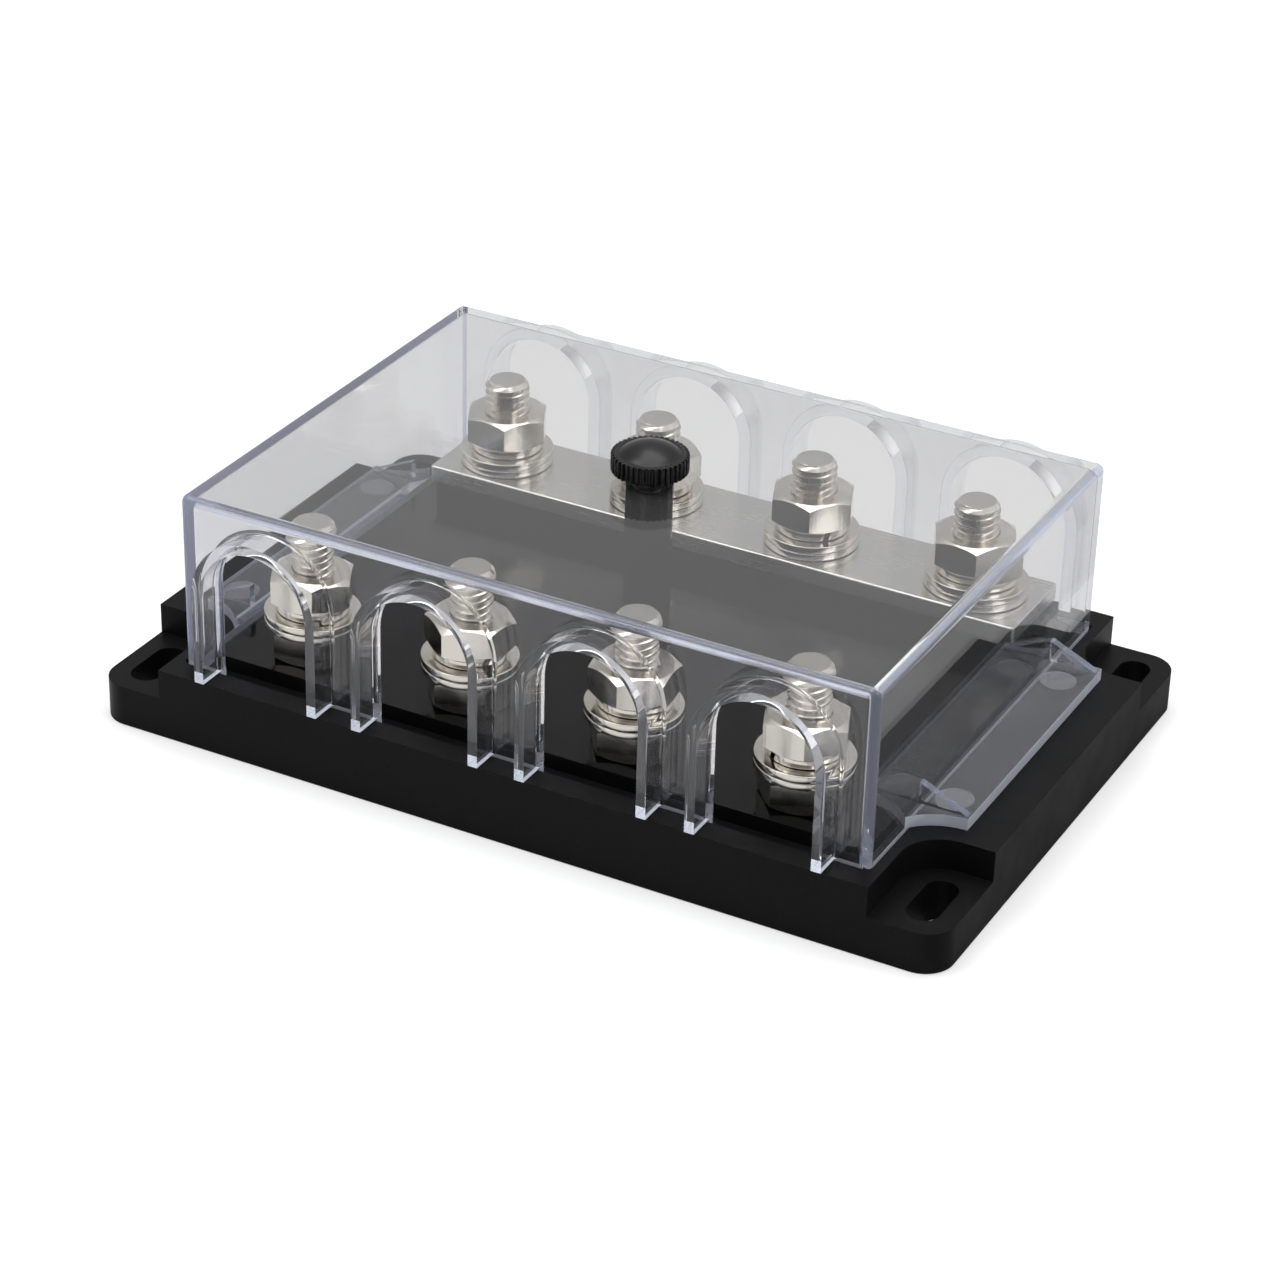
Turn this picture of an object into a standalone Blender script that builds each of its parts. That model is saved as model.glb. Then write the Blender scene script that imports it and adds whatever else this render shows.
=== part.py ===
"""Four-way bolt-down fuse block: a black moulded base, two rows of plated studs, a common bus bar
along the rear row, and a clear lift-off cover held by a thumb screw in the middle.

Frame: +X along the long side, +Y towards the bus bar, +Z up, origin at the middle of the underside.
"""

import math

import bmesh
import bpy
from mathutils import Matrix, Vector

MM = 0.001

# Layout that the whole block is drawn from
WAYS = 4
PITCH = 29.25 * MM
ROW_SPACING = 61.4 * MM
ROW_TO_COVER = 12.5 * MM
END_ROOM = 2.1 * MM

# Clearances: a seat, a stacked washer or nut, and a thread in its hole
SEAT_GAP = 0.3 * MM
STACK_GAP = 0.15 * MM
THREAD_GAP = 0.3 * MM

# Base moulding
BASE_HEIGHT = 12.2 * MM
END_LAND = 14.4 * MM
SIDE_LAND = 4.6 * MM
BASE_CORNER = 5.0 * MM
BASE_EDGE = 0.5 * MM
EAR_LENGTH = 12.3 * MM
EAR_DEPTH = 18.4 * MM
EAR_THICKNESS = 7.0 * MM
EAR_FILLET = 7.0 * MM
SLOT_LENGTH = 11.7 * MM
SLOT_WIDTH = 5.2 * MM
SLOT_FROM_END = 5.8 * MM
GROOVE_DEPTH = 1.5 * MM
ISLAND_MARGIN = 1.4 * MM
ISLAND_HEIGHT = 1.1 * MM
ISLAND_CORNER = 2.0 * MM
POST_DIAMETER = 7.7 * MM

# Bus bar, whose top stands above the front seats
BAR_LIFT = 1.65 * MM
BAR_DEPTH = 18.2 * MM
BAR_THICKNESS = 3.0 * MM
BAR_OVERHANG = 10.0 * MM
BAR_EDGE = 0.3 * MM
BAR_SEAT_INSET = 0.6 * MM

# Hardware of one M8 terminal
THREAD_DIAMETER = 8.0 * MM
THREAD_CHAMFER = 1.0 * MM
THREAD_ABOVE_NUT = 7.2 * MM
ACROSS_FLATS = 13.0 * MM
NUT_HEIGHT = 5.1 * MM
NUT_CHAMFER_ANGLE = math.radians(30)
HEAD_HEIGHT = 5.3 * MM
WASHER_DIAMETER = 16.0 * MM
WASHER_THICKNESS = 1.15 * MM
LOCK_DIAMETER = 12.4 * MM
LOCK_THICKNESS = 1.5 * MM
LOCK_SPLIT = 1.0 * MM
FLAT_WASHERS = 2

# Clear cover
COVER_WALL = 1.9 * MM
COVER_EDGE = 1.4 * MM
STUD_HEADROOM = 5.0 * MM
ARCH_WIDTH = 19.4 * MM
ARCH_TO_TOP = 4.2 * MM
LIP_WALL = 1.65 * MM
LIP_OVERHANG = 0.5 * MM
FLANGE_REACH = 8.4 * MM
FLANGE_THICKNESS = 2.0 * MM
FLANGE_TO_EAR = 3.0 * MM
FLANGE_PAST_EAR = 1.2 * MM
FLANGE_END_HOLLOW = 1.1 * MM
RIB_THICKNESS = 1.4 * MM
RIB_HEIGHT = 3.6 * MM
RIB_TO_CORNER = 1.2 * MM
RIB_TO_EDGE = 0.4 * MM

# Thumb screw
SPIGOT_DIAMETER = 5.0 * MM
COLLAR_DIAMETER = 7.8 * MM
COLLAR_HEIGHT = 1.2 * MM
HEAD_DIAMETER = 12.6 * MM
HEAD_BAND = 3.2 * MM
KNURLS = 40
KNURL_DEPTH = 0.4 * MM
DOME_DIAMETER = 9.8 * MM
DOME_RISE = 1.65 * MM
SCREW_DIAMETER = 3.8 * MM
SCREW_REACH = 9.0 * MM
SCREW_IN_KNOB = 5.0 * MM
INSERT_DIAMETER = 5.2 * MM
INSERT_LENGTH = 8.0 * MM
INSERT_BORE_DEPTH = 12.0 * MM

# Steps of a full turn, on an arch, on the hardware and on small rounds, and across a rounded edge
ARCH_STEPS = 32
TURN_STEPS = 24
SMALL_STEPS = 16
EDGE_STEPS = 3

# How near two corners of a mesh are merged, in a flat outline and in a turned shape
WELD_DISTANCE = 0.001 * MM
LATHE_DISTANCE = 0.01 * MM

# Plan sizes worked out from the layout
COVER_LENGTH = WAYS * PITCH + 2 * END_ROOM
COVER_DEPTH = ROW_SPACING + 2 * ROW_TO_COVER
BASE_LENGTH = COVER_LENGTH + 2 * END_LAND
BASE_DEPTH = COVER_DEPTH + 2 * SIDE_LAND
BAR_LENGTH = (WAYS - 1) * PITCH + 2 * BAR_OVERHANG
STUD_X = [(way - (WAYS - 1) / 2) * PITCH for way in range(WAYS)]
FRONT_Y = -ROW_SPACING / 2
REAR_Y = ROW_SPACING / 2

# Heights worked out from the stack on each stud
RIM_Z = BASE_HEIGHT
GROOVE_Z = RIM_Z - GROOVE_DEPTH
ISLAND_Z = RIM_Z + ISLAND_HEIGHT
SEAT_Z = ISLAND_Z + STACK_GAP + NUT_HEIGHT
BAR_SEAT_Z = SEAT_Z + BAR_LIFT - BAR_THICKNESS - STACK_GAP
LOCK_Z = SEAT_Z + FLAT_WASHERS * (STACK_GAP + WASHER_THICKNESS) + STACK_GAP
NUT_Z = LOCK_Z + LOCK_THICKNESS + STACK_GAP
STUD_TOP_Z = NUT_Z + NUT_HEIGHT + THREAD_ABOVE_NUT
COVER_TOP_Z = STUD_TOP_Z + STUD_HEADROOM + COVER_WALL
COVER_FOOT_Z = RIM_Z + SEAT_GAP
SKIRT_Z = GROOVE_Z + SEAT_GAP
FLANGE_TOP_Z = COVER_FOOT_Z + FLANGE_THICKNESS
POST_TOP_Z = COVER_TOP_Z - COVER_WALL - SEAT_GAP
KNOB_Z = COVER_TOP_Z + SEAT_GAP
SPIGOT_Z = POST_TOP_Z + SEAT_GAP


def clear_scene():
    """Removes what a new file holds, so that only the model is left."""
    for thing in list(bpy.data.objects):
        bpy.data.objects.remove(thing, do_unlink=True)


def new_collection(name):
    """Makes a collection under the scene."""
    collection = bpy.data.collections.new(name)
    bpy.context.scene.collection.children.link(collection)
    return collection


def new_material(name, colour, roughness, metallic=0.0, alpha=1.0):
    """Makes a Principled material of one of the block's finishes."""
    material = bpy.data.materials.new(name)
    material.use_nodes = True
    shader = material.node_tree.nodes["Principled BSDF"]
    shader.inputs["Base Color"].default_value = (*colour, 1.0)
    shader.inputs["Roughness"].default_value = roughness
    shader.inputs["Metallic"].default_value = metallic
    shader.inputs["Alpha"].default_value = alpha
    return material


def arc(centre, radius, start, end, steps):
    """Points along an arc from one angle to another, both ends included."""
    points = []
    for step in range(steps + 1):
        angle = start + (end - start) * step / steps
        points.append((centre[0] + radius * math.cos(angle), centre[1] + radius * math.sin(angle)))
    return points


def circle(centre, diameter, steps=TURN_STEPS):
    """A closed round outline."""
    return arc(centre, diameter / 2, 0, 2 * math.pi, steps)[:-1]


def rectangle(low, high):
    """A closed outline with square corners."""
    return [(low[0], low[1]), (high[0], low[1]), (high[0], high[1]), (low[0], high[1])]


def rounded_rectangle(length, depth, radius):
    """A closed outline about the origin, with four round corners."""
    x = length / 2 - radius
    y = depth / 2 - radius
    points = []
    for quarter, corner in enumerate([(x, y), (-x, y), (-x, -y), (x, -y)]):
        start = quarter * math.pi / 2
        points += arc(corner, radius, start, start + math.pi / 2, SMALL_STEPS // 2)
    return points


def hexagon(centre, across_flats):
    """A hexagon with a corner towards each end of Y."""
    radius = across_flats / 2 / math.cos(math.pi / 6)
    return arc(centre, radius, math.pi / 6, math.pi / 6 + 2 * math.pi, 6)[:-1]


def obround(centre, length, width):
    """A slot with round ends, running along Y."""
    reach = (length - width) / 2
    top = arc((centre[0], centre[1] + reach), width / 2, 0, math.pi, SMALL_STEPS)
    bottom = arc((centre[0], centre[1] - reach), width / 2, math.pi, 2 * math.pi, SMALL_STEPS)
    return top + bottom


def arch(x, width, foot, crown):
    """An arch in the XZ plane: two straight legs from the foot and a half round top."""
    radius = width / 2
    over = arc((x, crown - radius), radius, 0, math.pi, ARCH_STEPS // 2)
    return [(x + radius, foot)] + over + [(x - radius, foot)]


def bowed(start, end, rise, steps):
    """Points of a shallow arc between two points, bulging to the left of the way from one to the other."""
    chord = Vector(end) - Vector(start)
    half = chord.length / 2
    radius = (half * half + rise * rise) / (2 * rise)
    left = Vector((-chord.y, chord.x)).normalized()
    centre = (Vector(start) + Vector(end)) / 2 + left * (rise - radius)
    first = Vector(start) - centre
    turn = -2 * math.asin(half / radius)
    points = []
    for step in range(steps + 1):
        spoke = Matrix.Rotation(turn * step / steps, 2) @ first
        points.append(tuple(centre + spoke))
    return points


def mirrored(outline):
    """The same outline on the other side of the YZ plane."""
    return [(-x, y) for x, y in reversed(outline)]


def opposite(outline):
    """The same outline turned half round about Z."""
    return [(-x, -y) for x, y in outline]


def add_object(name, mesh, collection, material=None):
    """Puts a mesh into the scene as a named object."""
    thing = bpy.data.objects.new(name, mesh)
    collection.objects.link(thing)
    if material is not None and not mesh.materials:
        mesh.materials.append(material)
    return thing


def weld(mesh):
    """Closes the seams that a curve or a turned profile leaves."""
    shape = bmesh.new()
    shape.from_mesh(mesh)
    bmesh.ops.remove_doubles(shape, verts=shape.verts, dist=WELD_DISTANCE)
    shape.to_mesh(mesh)
    shape.free()


def evaluated_mesh(thing, name):
    """The shape that an object's modifiers or curve settings make, as a mesh of its own."""
    bpy.context.view_layer.update()
    graph = bpy.context.evaluated_depsgraph_get()
    mesh = bpy.data.meshes.new_from_object(thing.evaluated_get(graph))
    mesh.name = name
    bpy.data.objects.remove(thing, do_unlink=True)
    return mesh


def plate(name, outlines, low, high, edge=0.0, upright=False):
    """A flat outline given a thickness. An outline inside another is a hole. Upright outlines are
    drawn in the XZ plane, and low and high are then places along Y."""
    curve = bpy.data.curves.new(name, "CURVE")
    curve.dimensions = "2D"
    curve.fill_mode = "BOTH"
    curve.extrude = (high - low) / 2 - edge
    curve.bevel_depth = edge
    curve.bevel_resolution = 1
    curve.offset = -edge
    for outline in outlines:
        spline = curve.splines.new("POLY")
        spline.points.add(len(outline) - 1)
        for point, (x, y) in zip(spline.points, outline):
            point.co = Vector((x, y, 0)).to_4d()
        spline.use_cyclic_u = True
    drawn = bpy.data.objects.new(name, curve)
    bpy.context.scene.collection.objects.link(drawn)
    mesh = evaluated_mesh(drawn, name)
    weld(mesh)
    middle = (low + high) / 2
    if upright:
        mesh.transform(Matrix.Translation((0, middle, 0)) @ Matrix.Rotation(math.pi / 2, 4, "X"))
    else:
        mesh.transform(Matrix.Translation((0, 0, middle)))
    return mesh


def turned(name, profile, steps=TURN_STEPS):
    """A profile in the XZ plane, turned about Z. It runs down its outer side, from top to bottom."""
    mesh = bpy.data.meshes.new(name)
    shape = bmesh.new()
    corners = [shape.verts.new((x, 0, z)) for x, z in profile]
    for first, second in zip(corners, corners[1:]):
        shape.edges.new((first, second))
    if profile[0][0] > 0:
        shape.edges.new((corners[-1], corners[0]))
    shape.to_mesh(mesh)
    shape.free()
    lathe = bpy.data.objects.new(name, mesh)
    bpy.context.scene.collection.objects.link(lathe)
    screw = lathe.modifiers.new("turn", "SCREW")
    screw.steps = steps
    screw.render_steps = steps
    screw.use_merge_vertices = True
    screw.merge_threshold = LATHE_DISTANCE
    return evaluated_mesh(lathe, name)


def shade_round(mesh):
    """Shades the round faces smooth and keeps the edges crisp."""
    mesh.shade_smooth()
    mesh.set_sharp_from_angle(angle=math.radians(35))


def boolean(target, operation, tool):
    """Cuts, adds or keeps the common part of another shape."""
    modifier = target.modifiers.new(tool.name, "BOOLEAN")
    modifier.operation = operation
    modifier.solver = "EXACT"
    modifier.object = tool


def tool_shape(name, mesh, tools):
    """An object that only shapes another one."""
    tool = add_object(name, mesh, tools)
    tool.hide_render = True
    tool.display_type = "WIRE"
    return tool


def ear_pocket():
    """Plan of the pocket over the right rear ear, with the large round inner corner."""
    inner_x = BASE_LENGTH / 2 - EAR_LENGTH
    inner_y = BASE_DEPTH / 2 - EAR_DEPTH
    outer_x = BASE_LENGTH / 2 + BASE_CORNER
    outer_y = BASE_DEPTH / 2 + BASE_CORNER
    corner = (inner_x + EAR_FILLET, inner_y + EAR_FILLET)
    fillet = arc(corner, EAR_FILLET, math.pi, 1.5 * math.pi, SMALL_STEPS // 2)
    return fillet + [(outer_x, inner_y), (outer_x, outer_y), (inner_x, outer_y)]


def four_corners(outline):
    """An outline of the right rear corner, repeated at all four."""
    left = mirrored(outline)
    return [outline, left, opposite(outline), opposite(left)]


def stud_places():
    """Plan positions of the studs, the front row first."""
    return [(x, FRONT_Y) for x in STUD_X] + [(x, REAR_Y) for x in STUD_X]


def build_base(parts, tools, material):
    """The black moulding: ears, cover groove, raised island, bus bar seat and centre post."""
    slab = plate("base", [rounded_rectangle(BASE_LENGTH, BASE_DEPTH, BASE_CORNER)], 0, RIM_Z, BASE_EDGE)
    base = add_object("base", slab, parts, material)
    over = RIM_Z + BASE_HEIGHT
    under = -BASE_HEIGHT

    # The skirt of the cover stands in a groove between the rim and the island
    groove_length = COVER_LENGTH + 2 * SEAT_GAP
    groove_depth = COVER_DEPTH + 2 * SEAT_GAP
    recess = plate("cover_groove", [rounded_rectangle(groove_length, groove_depth, COVER_EDGE)], GROOVE_Z, over)
    boolean(base, "DIFFERENCE", tool_shape("cover_groove", recess, tools))
    shrink = 2 * (COVER_WALL + ISLAND_MARGIN)
    island_outline = rounded_rectangle(COVER_LENGTH - shrink, COVER_DEPTH - shrink, ISLAND_CORNER)
    root = GROOVE_Z - GROOVE_DEPTH
    island = plate("island", [island_outline], root, ISLAND_Z)
    boolean(base, "UNION", tool_shape("island", island, tools))

    # The bus bar stands on a pad of its own
    pad_x = BAR_LENGTH / 2 - BAR_SEAT_INSET
    pad_y = BAR_DEPTH / 2 - BAR_SEAT_INSET
    pad = plate("bar_seat", [rectangle((-pad_x, REAR_Y - pad_y), (pad_x, REAR_Y + pad_y))], root, BAR_SEAT_Z)
    boolean(base, "UNION", tool_shape("bar_seat", pad, tools))
    post = plate("centre_post", [circle((0, 0), POST_DIAMETER)], root, POST_TOP_Z)
    boolean(base, "UNION", tool_shape("centre_post", post, tools))

    # Each stud passes through the base, and its head lies in a hexagonal socket below
    hole = THREAD_DIAMETER + 2 * THREAD_GAP
    holes = plate("stud_holes", [circle(place, hole) for place in stud_places()], under, over)
    boolean(base, "DIFFERENCE", tool_shape("stud_holes", holes, tools))
    socket = ACROSS_FLATS + 2 * SEAT_GAP
    socket_top = 2 * SEAT_GAP + HEAD_HEIGHT
    sockets = plate("head_sockets", [hexagon(place, socket) for place in stud_places()], under, socket_top)
    boolean(base, "DIFFERENCE", tool_shape("head_sockets", sockets, tools))
    bore_outline = circle((0, 0), INSERT_DIAMETER + 2 * SEAT_GAP)
    bore = plate("insert_bore", [bore_outline], POST_TOP_Z - INSERT_BORE_DEPTH, POST_TOP_Z + BASE_HEIGHT)
    boolean(base, "DIFFERENCE", tool_shape("insert_bore", bore, tools))

    # The ears are cut down last, each with a slot for its mounting screw
    pockets = plate("ear_pockets", four_corners(ear_pocket()), EAR_THICKNESS, over)
    boolean(base, "DIFFERENCE", tool_shape("ear_pockets", pockets, tools))
    slot = obround((BASE_LENGTH / 2 - SLOT_FROM_END, (BASE_DEPTH - EAR_DEPTH) / 2), SLOT_LENGTH, SLOT_WIDTH)
    slots = plate("mounting_slots", four_corners(slot), under, over)
    boolean(base, "DIFFERENCE", tool_shape("mounting_slots", slots, tools))
    return base


def flange_outline():
    """Plan of the right hand flange, with hollow ends that follow the ears' pockets."""
    wall = COVER_LENGTH / 2 - COVER_WALL / 2
    edge = COVER_LENGTH / 2 + FLANGE_REACH
    ear = BASE_DEPTH / 2 - EAR_DEPTH
    half = ear - FLANGE_TO_EAR
    end = ear + FLANGE_PAST_EAR
    rear = bowed((edge, half), (COVER_LENGTH / 2, end), FLANGE_END_HOLLOW, SMALL_STEPS // 2)
    front = [(x, -y) for x, y in reversed(rear)]
    return rear + [(wall, end), (wall, -end)] + front


def rib_outline():
    """Side view of a right hand rib: from the wall, down to the flange's outer corner."""
    wall = COVER_LENGTH / 2 - COVER_WALL / 2
    edge = COVER_LENGTH / 2 + FLANGE_REACH - RIB_TO_EDGE
    sunk = FLANGE_TOP_Z - FLANGE_THICKNESS / 2
    peak = FLANGE_TOP_Z + RIB_HEIGHT
    return [(wall, sunk), (edge, sunk), (edge, FLANGE_TOP_Z), (COVER_LENGTH / 2, peak), (wall, peak)]


def build_cover(parts, tools, material):
    """The clear box with four cable arches on each long side and a flange on each short side."""
    mesh = bpy.data.meshes.new("cover")
    shape = bmesh.new()
    bmesh.ops.create_cube(shape, size=1.0)
    size = Vector((COVER_LENGTH, COVER_DEPTH, COVER_TOP_Z - SKIRT_Z))
    bmesh.ops.scale(shape, vec=size, verts=shape.verts)
    bmesh.ops.translate(shape, vec=(0, 0, (COVER_TOP_Z + SKIRT_Z) / 2), verts=shape.verts)

    # Every outer edge is rounded but those of the open underside
    edges = [edge for edge in shape.edges if max(vert.co.z for vert in edge.verts) > SKIRT_Z]
    bmesh.ops.bevel(shape, geom=edges, offset=COVER_EDGE, segments=EDGE_STEPS, profile=0.5, affect="EDGES")
    shape.to_mesh(mesh)
    shape.free()
    cover = add_object("cover", mesh, parts, material)
    inner_x = COVER_LENGTH / 2 - COVER_WALL
    inner_y = COVER_DEPTH / 2 - COVER_WALL
    room = rectangle((-inner_x, -inner_y), (inner_x, inner_y))
    hollow = plate("cover_hollow", [room], -BASE_HEIGHT, COVER_TOP_Z - COVER_WALL)
    boolean(cover, "DIFFERENCE", tool_shape("cover_hollow", hollow, tools))

    # Each arch has a lip that reaches just past the front or rear edge of the base
    front_wall = COVER_DEPTH / 2 - COVER_WALL / 2
    lip_end = BASE_DEPTH / 2 + LIP_OVERHANG
    crown = COVER_TOP_Z - ARCH_TO_TOP
    outer_width = ARCH_WIDTH + 2 * LIP_WALL
    outer = [arch(x, outer_width, COVER_FOOT_Z, crown + LIP_WALL) for x in STUD_X]
    for row, low, high in (("front", -lip_end, -front_wall), ("rear", front_wall, lip_end)):
        lips = plate(row + "_lips", outer, low, high, upright=True)
        boolean(cover, "UNION", tool_shape(row + "_lips", lips, tools))
    inner = [arch(x, ARCH_WIDTH, GROOVE_Z, crown) for x in STUD_X]
    tunnels = plate("cable_tunnels", inner, -BASE_DEPTH, BASE_DEPTH, upright=True)
    boolean(cover, "DIFFERENCE", tool_shape("cable_tunnels", tunnels, tools))

    right = flange_outline()
    flanges = plate("side_flanges", [right, mirrored(right)], COVER_FOOT_Z, FLANGE_TOP_Z)
    boolean(cover, "UNION", tool_shape("side_flanges", flanges, tools))
    rib = rib_outline()
    rib_y = BASE_DEPTH / 2 - EAR_DEPTH - FLANGE_TO_EAR - RIB_TO_CORNER
    for side, low in (("front", -rib_y - RIB_THICKNESS / 2), ("rear", rib_y - RIB_THICKNESS / 2)):
        ribs = plate(side + "_ribs", [rib, mirrored(rib)], low, low + RIB_THICKNESS, upright=True)
        boolean(cover, "UNION", tool_shape(side + "_ribs", ribs, tools))

    # The thumb screw's spigot passes through the top, and its collar bears on the rim of the hole
    hole = plate("screw_hole", [circle((0, 0), SPIGOT_DIAMETER + 2 * SEAT_GAP)], POST_TOP_Z, KNOB_Z)
    boolean(cover, "DIFFERENCE", tool_shape("screw_hole", hole, tools))
    return cover


def nut_mesh(tools):
    """A hexagonal nut with the corners of both faces turned off."""
    bore = circle((0, 0), THREAD_DIAMETER + 2 * THREAD_GAP)
    prism = plate("nut", [hexagon((0, 0), ACROSS_FLATS), bore], 0, NUT_HEIGHT)
    nut = add_object("nut_blank", prism, tools)
    corner = ACROSS_FLATS / 2 / math.cos(math.pi / 6)
    flat = ACROSS_FLATS / 2
    drop = (corner - flat) * math.tan(NUT_CHAMFER_ANGLE)
    low = (corner, drop)
    profile = [(0, NUT_HEIGHT), (flat, NUT_HEIGHT), (corner, NUT_HEIGHT - drop), low, (flat, 0), (0, 0)]
    turning = tool_shape("nut_turning", turned("nut_turning", profile), tools)
    boolean(nut, "INTERSECT", turning)
    mesh = evaluated_mesh(nut, "nut")
    bpy.data.objects.remove(turning, do_unlink=True)
    return mesh


def flat_washer_mesh():
    """A plain round washer."""
    outer = WASHER_DIAMETER / 2
    inner = THREAD_DIAMETER / 2 + THREAD_GAP
    profile = [(inner, WASHER_THICKNESS), (outer, WASHER_THICKNESS), (outer, 0), (inner, 0)]
    mesh = turned("flat_washer", profile)
    shade_round(mesh)
    return mesh


def lock_washer_mesh():
    """A split spring washer, pressed flat. Its split is cut at a slant, as the wire was."""
    outer = LOCK_DIAMETER / 2
    inner = THREAD_DIAMETER / 2 + THREAD_GAP
    half_split = LOCK_SPLIT / (inner + outer)
    slant = 2 * half_split
    first = arc((0, 0), outer, half_split + slant, 2 * math.pi - half_split + slant, TURN_STEPS)
    second = arc((0, 0), inner, 2 * math.pi - half_split, half_split, TURN_STEPS)
    return plate("lock_washer", [first + second], 0, LOCK_THICKNESS)


def stud_mesh(tools):
    """A hexagon headed bolt, head down, with a chamfered end. Its underside is at the head's top."""
    length = STUD_TOP_Z - HEAD_HEIGHT - SEAT_GAP
    radius = THREAD_DIAMETER / 2
    tip = radius - THREAD_CHAMFER
    sunk = -HEAD_HEIGHT / 2
    profile = [(0, length), (tip, length), (radius, length - THREAD_CHAMFER), (radius, sunk), (0, sunk)]
    stud = add_object("stud_blank", turned("stud", profile), tools)
    head = plate("stud_head", [hexagon((0, 0), ACROSS_FLATS)], -HEAD_HEIGHT, 0)
    head_tool = tool_shape("stud_head", head, tools)
    boolean(stud, "UNION", head_tool)
    mesh = evaluated_mesh(stud, "stud")
    bpy.data.objects.remove(head_tool, do_unlink=True)
    shade_round(mesh)
    return mesh


def build_bus_bar(parts, material):
    """The plated bar that joins the rear studs."""
    bar_outline = [(x, y + REAR_Y) for x, y in rounded_rectangle(BAR_LENGTH, BAR_DEPTH, 2 * BAR_EDGE)]
    hole = THREAD_DIAMETER + 2 * THREAD_GAP
    holes = [circle((x, REAR_Y), hole) for x in STUD_X]
    low = BAR_SEAT_Z + STACK_GAP
    mesh = plate("bus_bar", [bar_outline] + holes, low, low + BAR_THICKNESS)
    return add_object("bus_bar", mesh, parts, material)


def build_terminals(parts, tools, material):
    """Studs, nuts and washers, from shared meshes, placed at each way of both rows."""
    nut = nut_mesh(tools)
    flat = flat_washer_mesh()
    lock = lock_washer_mesh()
    stud = stud_mesh(tools)
    placed = []
    for row, y, lift in (("front", FRONT_Y, 0), ("rear", REAR_Y, BAR_LIFT)):
        for way, x in enumerate(STUD_X, start=1):
            ending = f"{row}_{way}"
            stack = [("stud_" + ending, stud, HEAD_HEIGHT + SEAT_GAP)]
            if row == "front":
                stack.append(("seat_nut_" + ending, nut, ISLAND_Z + STACK_GAP))
            for layer in range(FLAT_WASHERS):
                height = SEAT_Z + lift + STACK_GAP + layer * (WASHER_THICKNESS + STACK_GAP)
                stack.append((f"flat_washer_{ending}_{'ab'[layer]}", flat, height))
            stack.append(("lock_washer_" + ending, lock, LOCK_Z + lift))
            stack.append(("nut_" + ending, nut, NUT_Z + lift))
            for name, mesh, height in stack:
                piece = add_object(name, mesh, parts, material)
                piece.location = (x, y, height)
                placed.append(piece)
    return placed


def knurled_outline(diameter, depth, teeth):
    """A round outline with a V groove between one tooth and the next."""
    points = []
    for step in range(2 * teeth):
        radius = diameter / 2 - depth * (step % 2)
        angle = math.pi * step / teeth
        points.append((radius * math.cos(angle), radius * math.sin(angle)))
    return points


def build_thumb_screw(parts, tools, plastic, steel):
    """The knurled plastic knob and the steel screw that is moulded into it."""
    shoulder = COLLAR_HEIGHT + HEAD_BAND
    band = plate("thumb_knob", [knurled_outline(HEAD_DIAMETER, KNURL_DEPTH, KNURLS)], COLLAR_HEIGHT, shoulder)
    knob = add_object("thumb_knob", band, parts, plastic)
    knob.location.z = KNOB_Z

    # Dome, collar and spigot are one turned shape that runs through the knurled band
    dome = DOME_DIAMETER / 2
    sphere = (dome ** 2 + DOME_RISE ** 2) / (2 * DOME_RISE)
    spread = math.asin(dome / sphere)
    crown = arc((0, shoulder + DOME_RISE - sphere), sphere, math.pi / 2, math.pi / 2 - spread, SMALL_STEPS // 2)
    collar = COLLAR_DIAMETER / 2
    spigot = SPIGOT_DIAMETER / 2
    spigot_end = SPIGOT_Z - KNOB_Z
    sunk = COLLAR_HEIGHT + HEAD_BAND / 2
    lower = [(dome, sunk), (collar, sunk), (collar, 0), (spigot, 0), (spigot, spigot_end), (0, spigot_end)]
    profile = [(0, shoulder + DOME_RISE)] + crown[1:] + lower
    body = tool_shape("knob_body", turned("knob_body", profile), tools)
    body.location.z = KNOB_Z
    boolean(knob, "UNION", body)

    screw_top = SPIGOT_Z + SCREW_IN_KNOB
    bore_outline = circle((0, 0), SCREW_DIAMETER + 2 * SEAT_GAP, SMALL_STEPS)
    bore = plate("knob_bore", [bore_outline], SPIGOT_Z - SEAT_GAP, screw_top + SEAT_GAP)
    boolean(knob, "DIFFERENCE", tool_shape("knob_bore", bore, tools))
    radius = SCREW_DIAMETER / 2
    tip = radius / 2
    rod = [(0, SCREW_IN_KNOB), (radius, SCREW_IN_KNOB), (radius, tip - SCREW_REACH), (radius - tip, -SCREW_REACH),
           (0, -SCREW_REACH)]
    mesh = turned("thumb_screw", rod, SMALL_STEPS)
    shade_round(mesh)
    screw = add_object("thumb_screw", mesh, parts, steel)
    screw.location.z = SPIGOT_Z
    return knob, screw


def build_post_insert(parts, material):
    """The brass thread in the centre post."""
    outer = INSERT_DIAMETER / 2
    inner = SCREW_DIAMETER / 2 + THREAD_GAP
    profile = [(inner, 0), (outer, 0), (outer, -INSERT_LENGTH), (inner, -INSERT_LENGTH)]
    mesh = turned("post_insert", profile, SMALL_STEPS)
    shade_round(mesh)
    insert = add_object("post_insert", mesh, parts, material)
    insert.location.z = POST_TOP_Z - SEAT_GAP
    return insert


def guide(name, parts, height, parent=None):
    """An empty on the block's vertical axis, for pieces that move together."""
    empty = bpy.data.objects.new(name, None)
    empty.empty_display_size = POST_DIAMETER
    parts.objects.link(empty)
    empty.location.z = height
    if parent is not None:
        hang(empty, parent)
    return empty


def hang(piece, parent):
    """Parents a piece and leaves it where it stands."""
    piece.parent = parent
    bpy.context.view_layer.update()
    piece.matrix_parent_inverse = parent.matrix_world.inverted()


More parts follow.
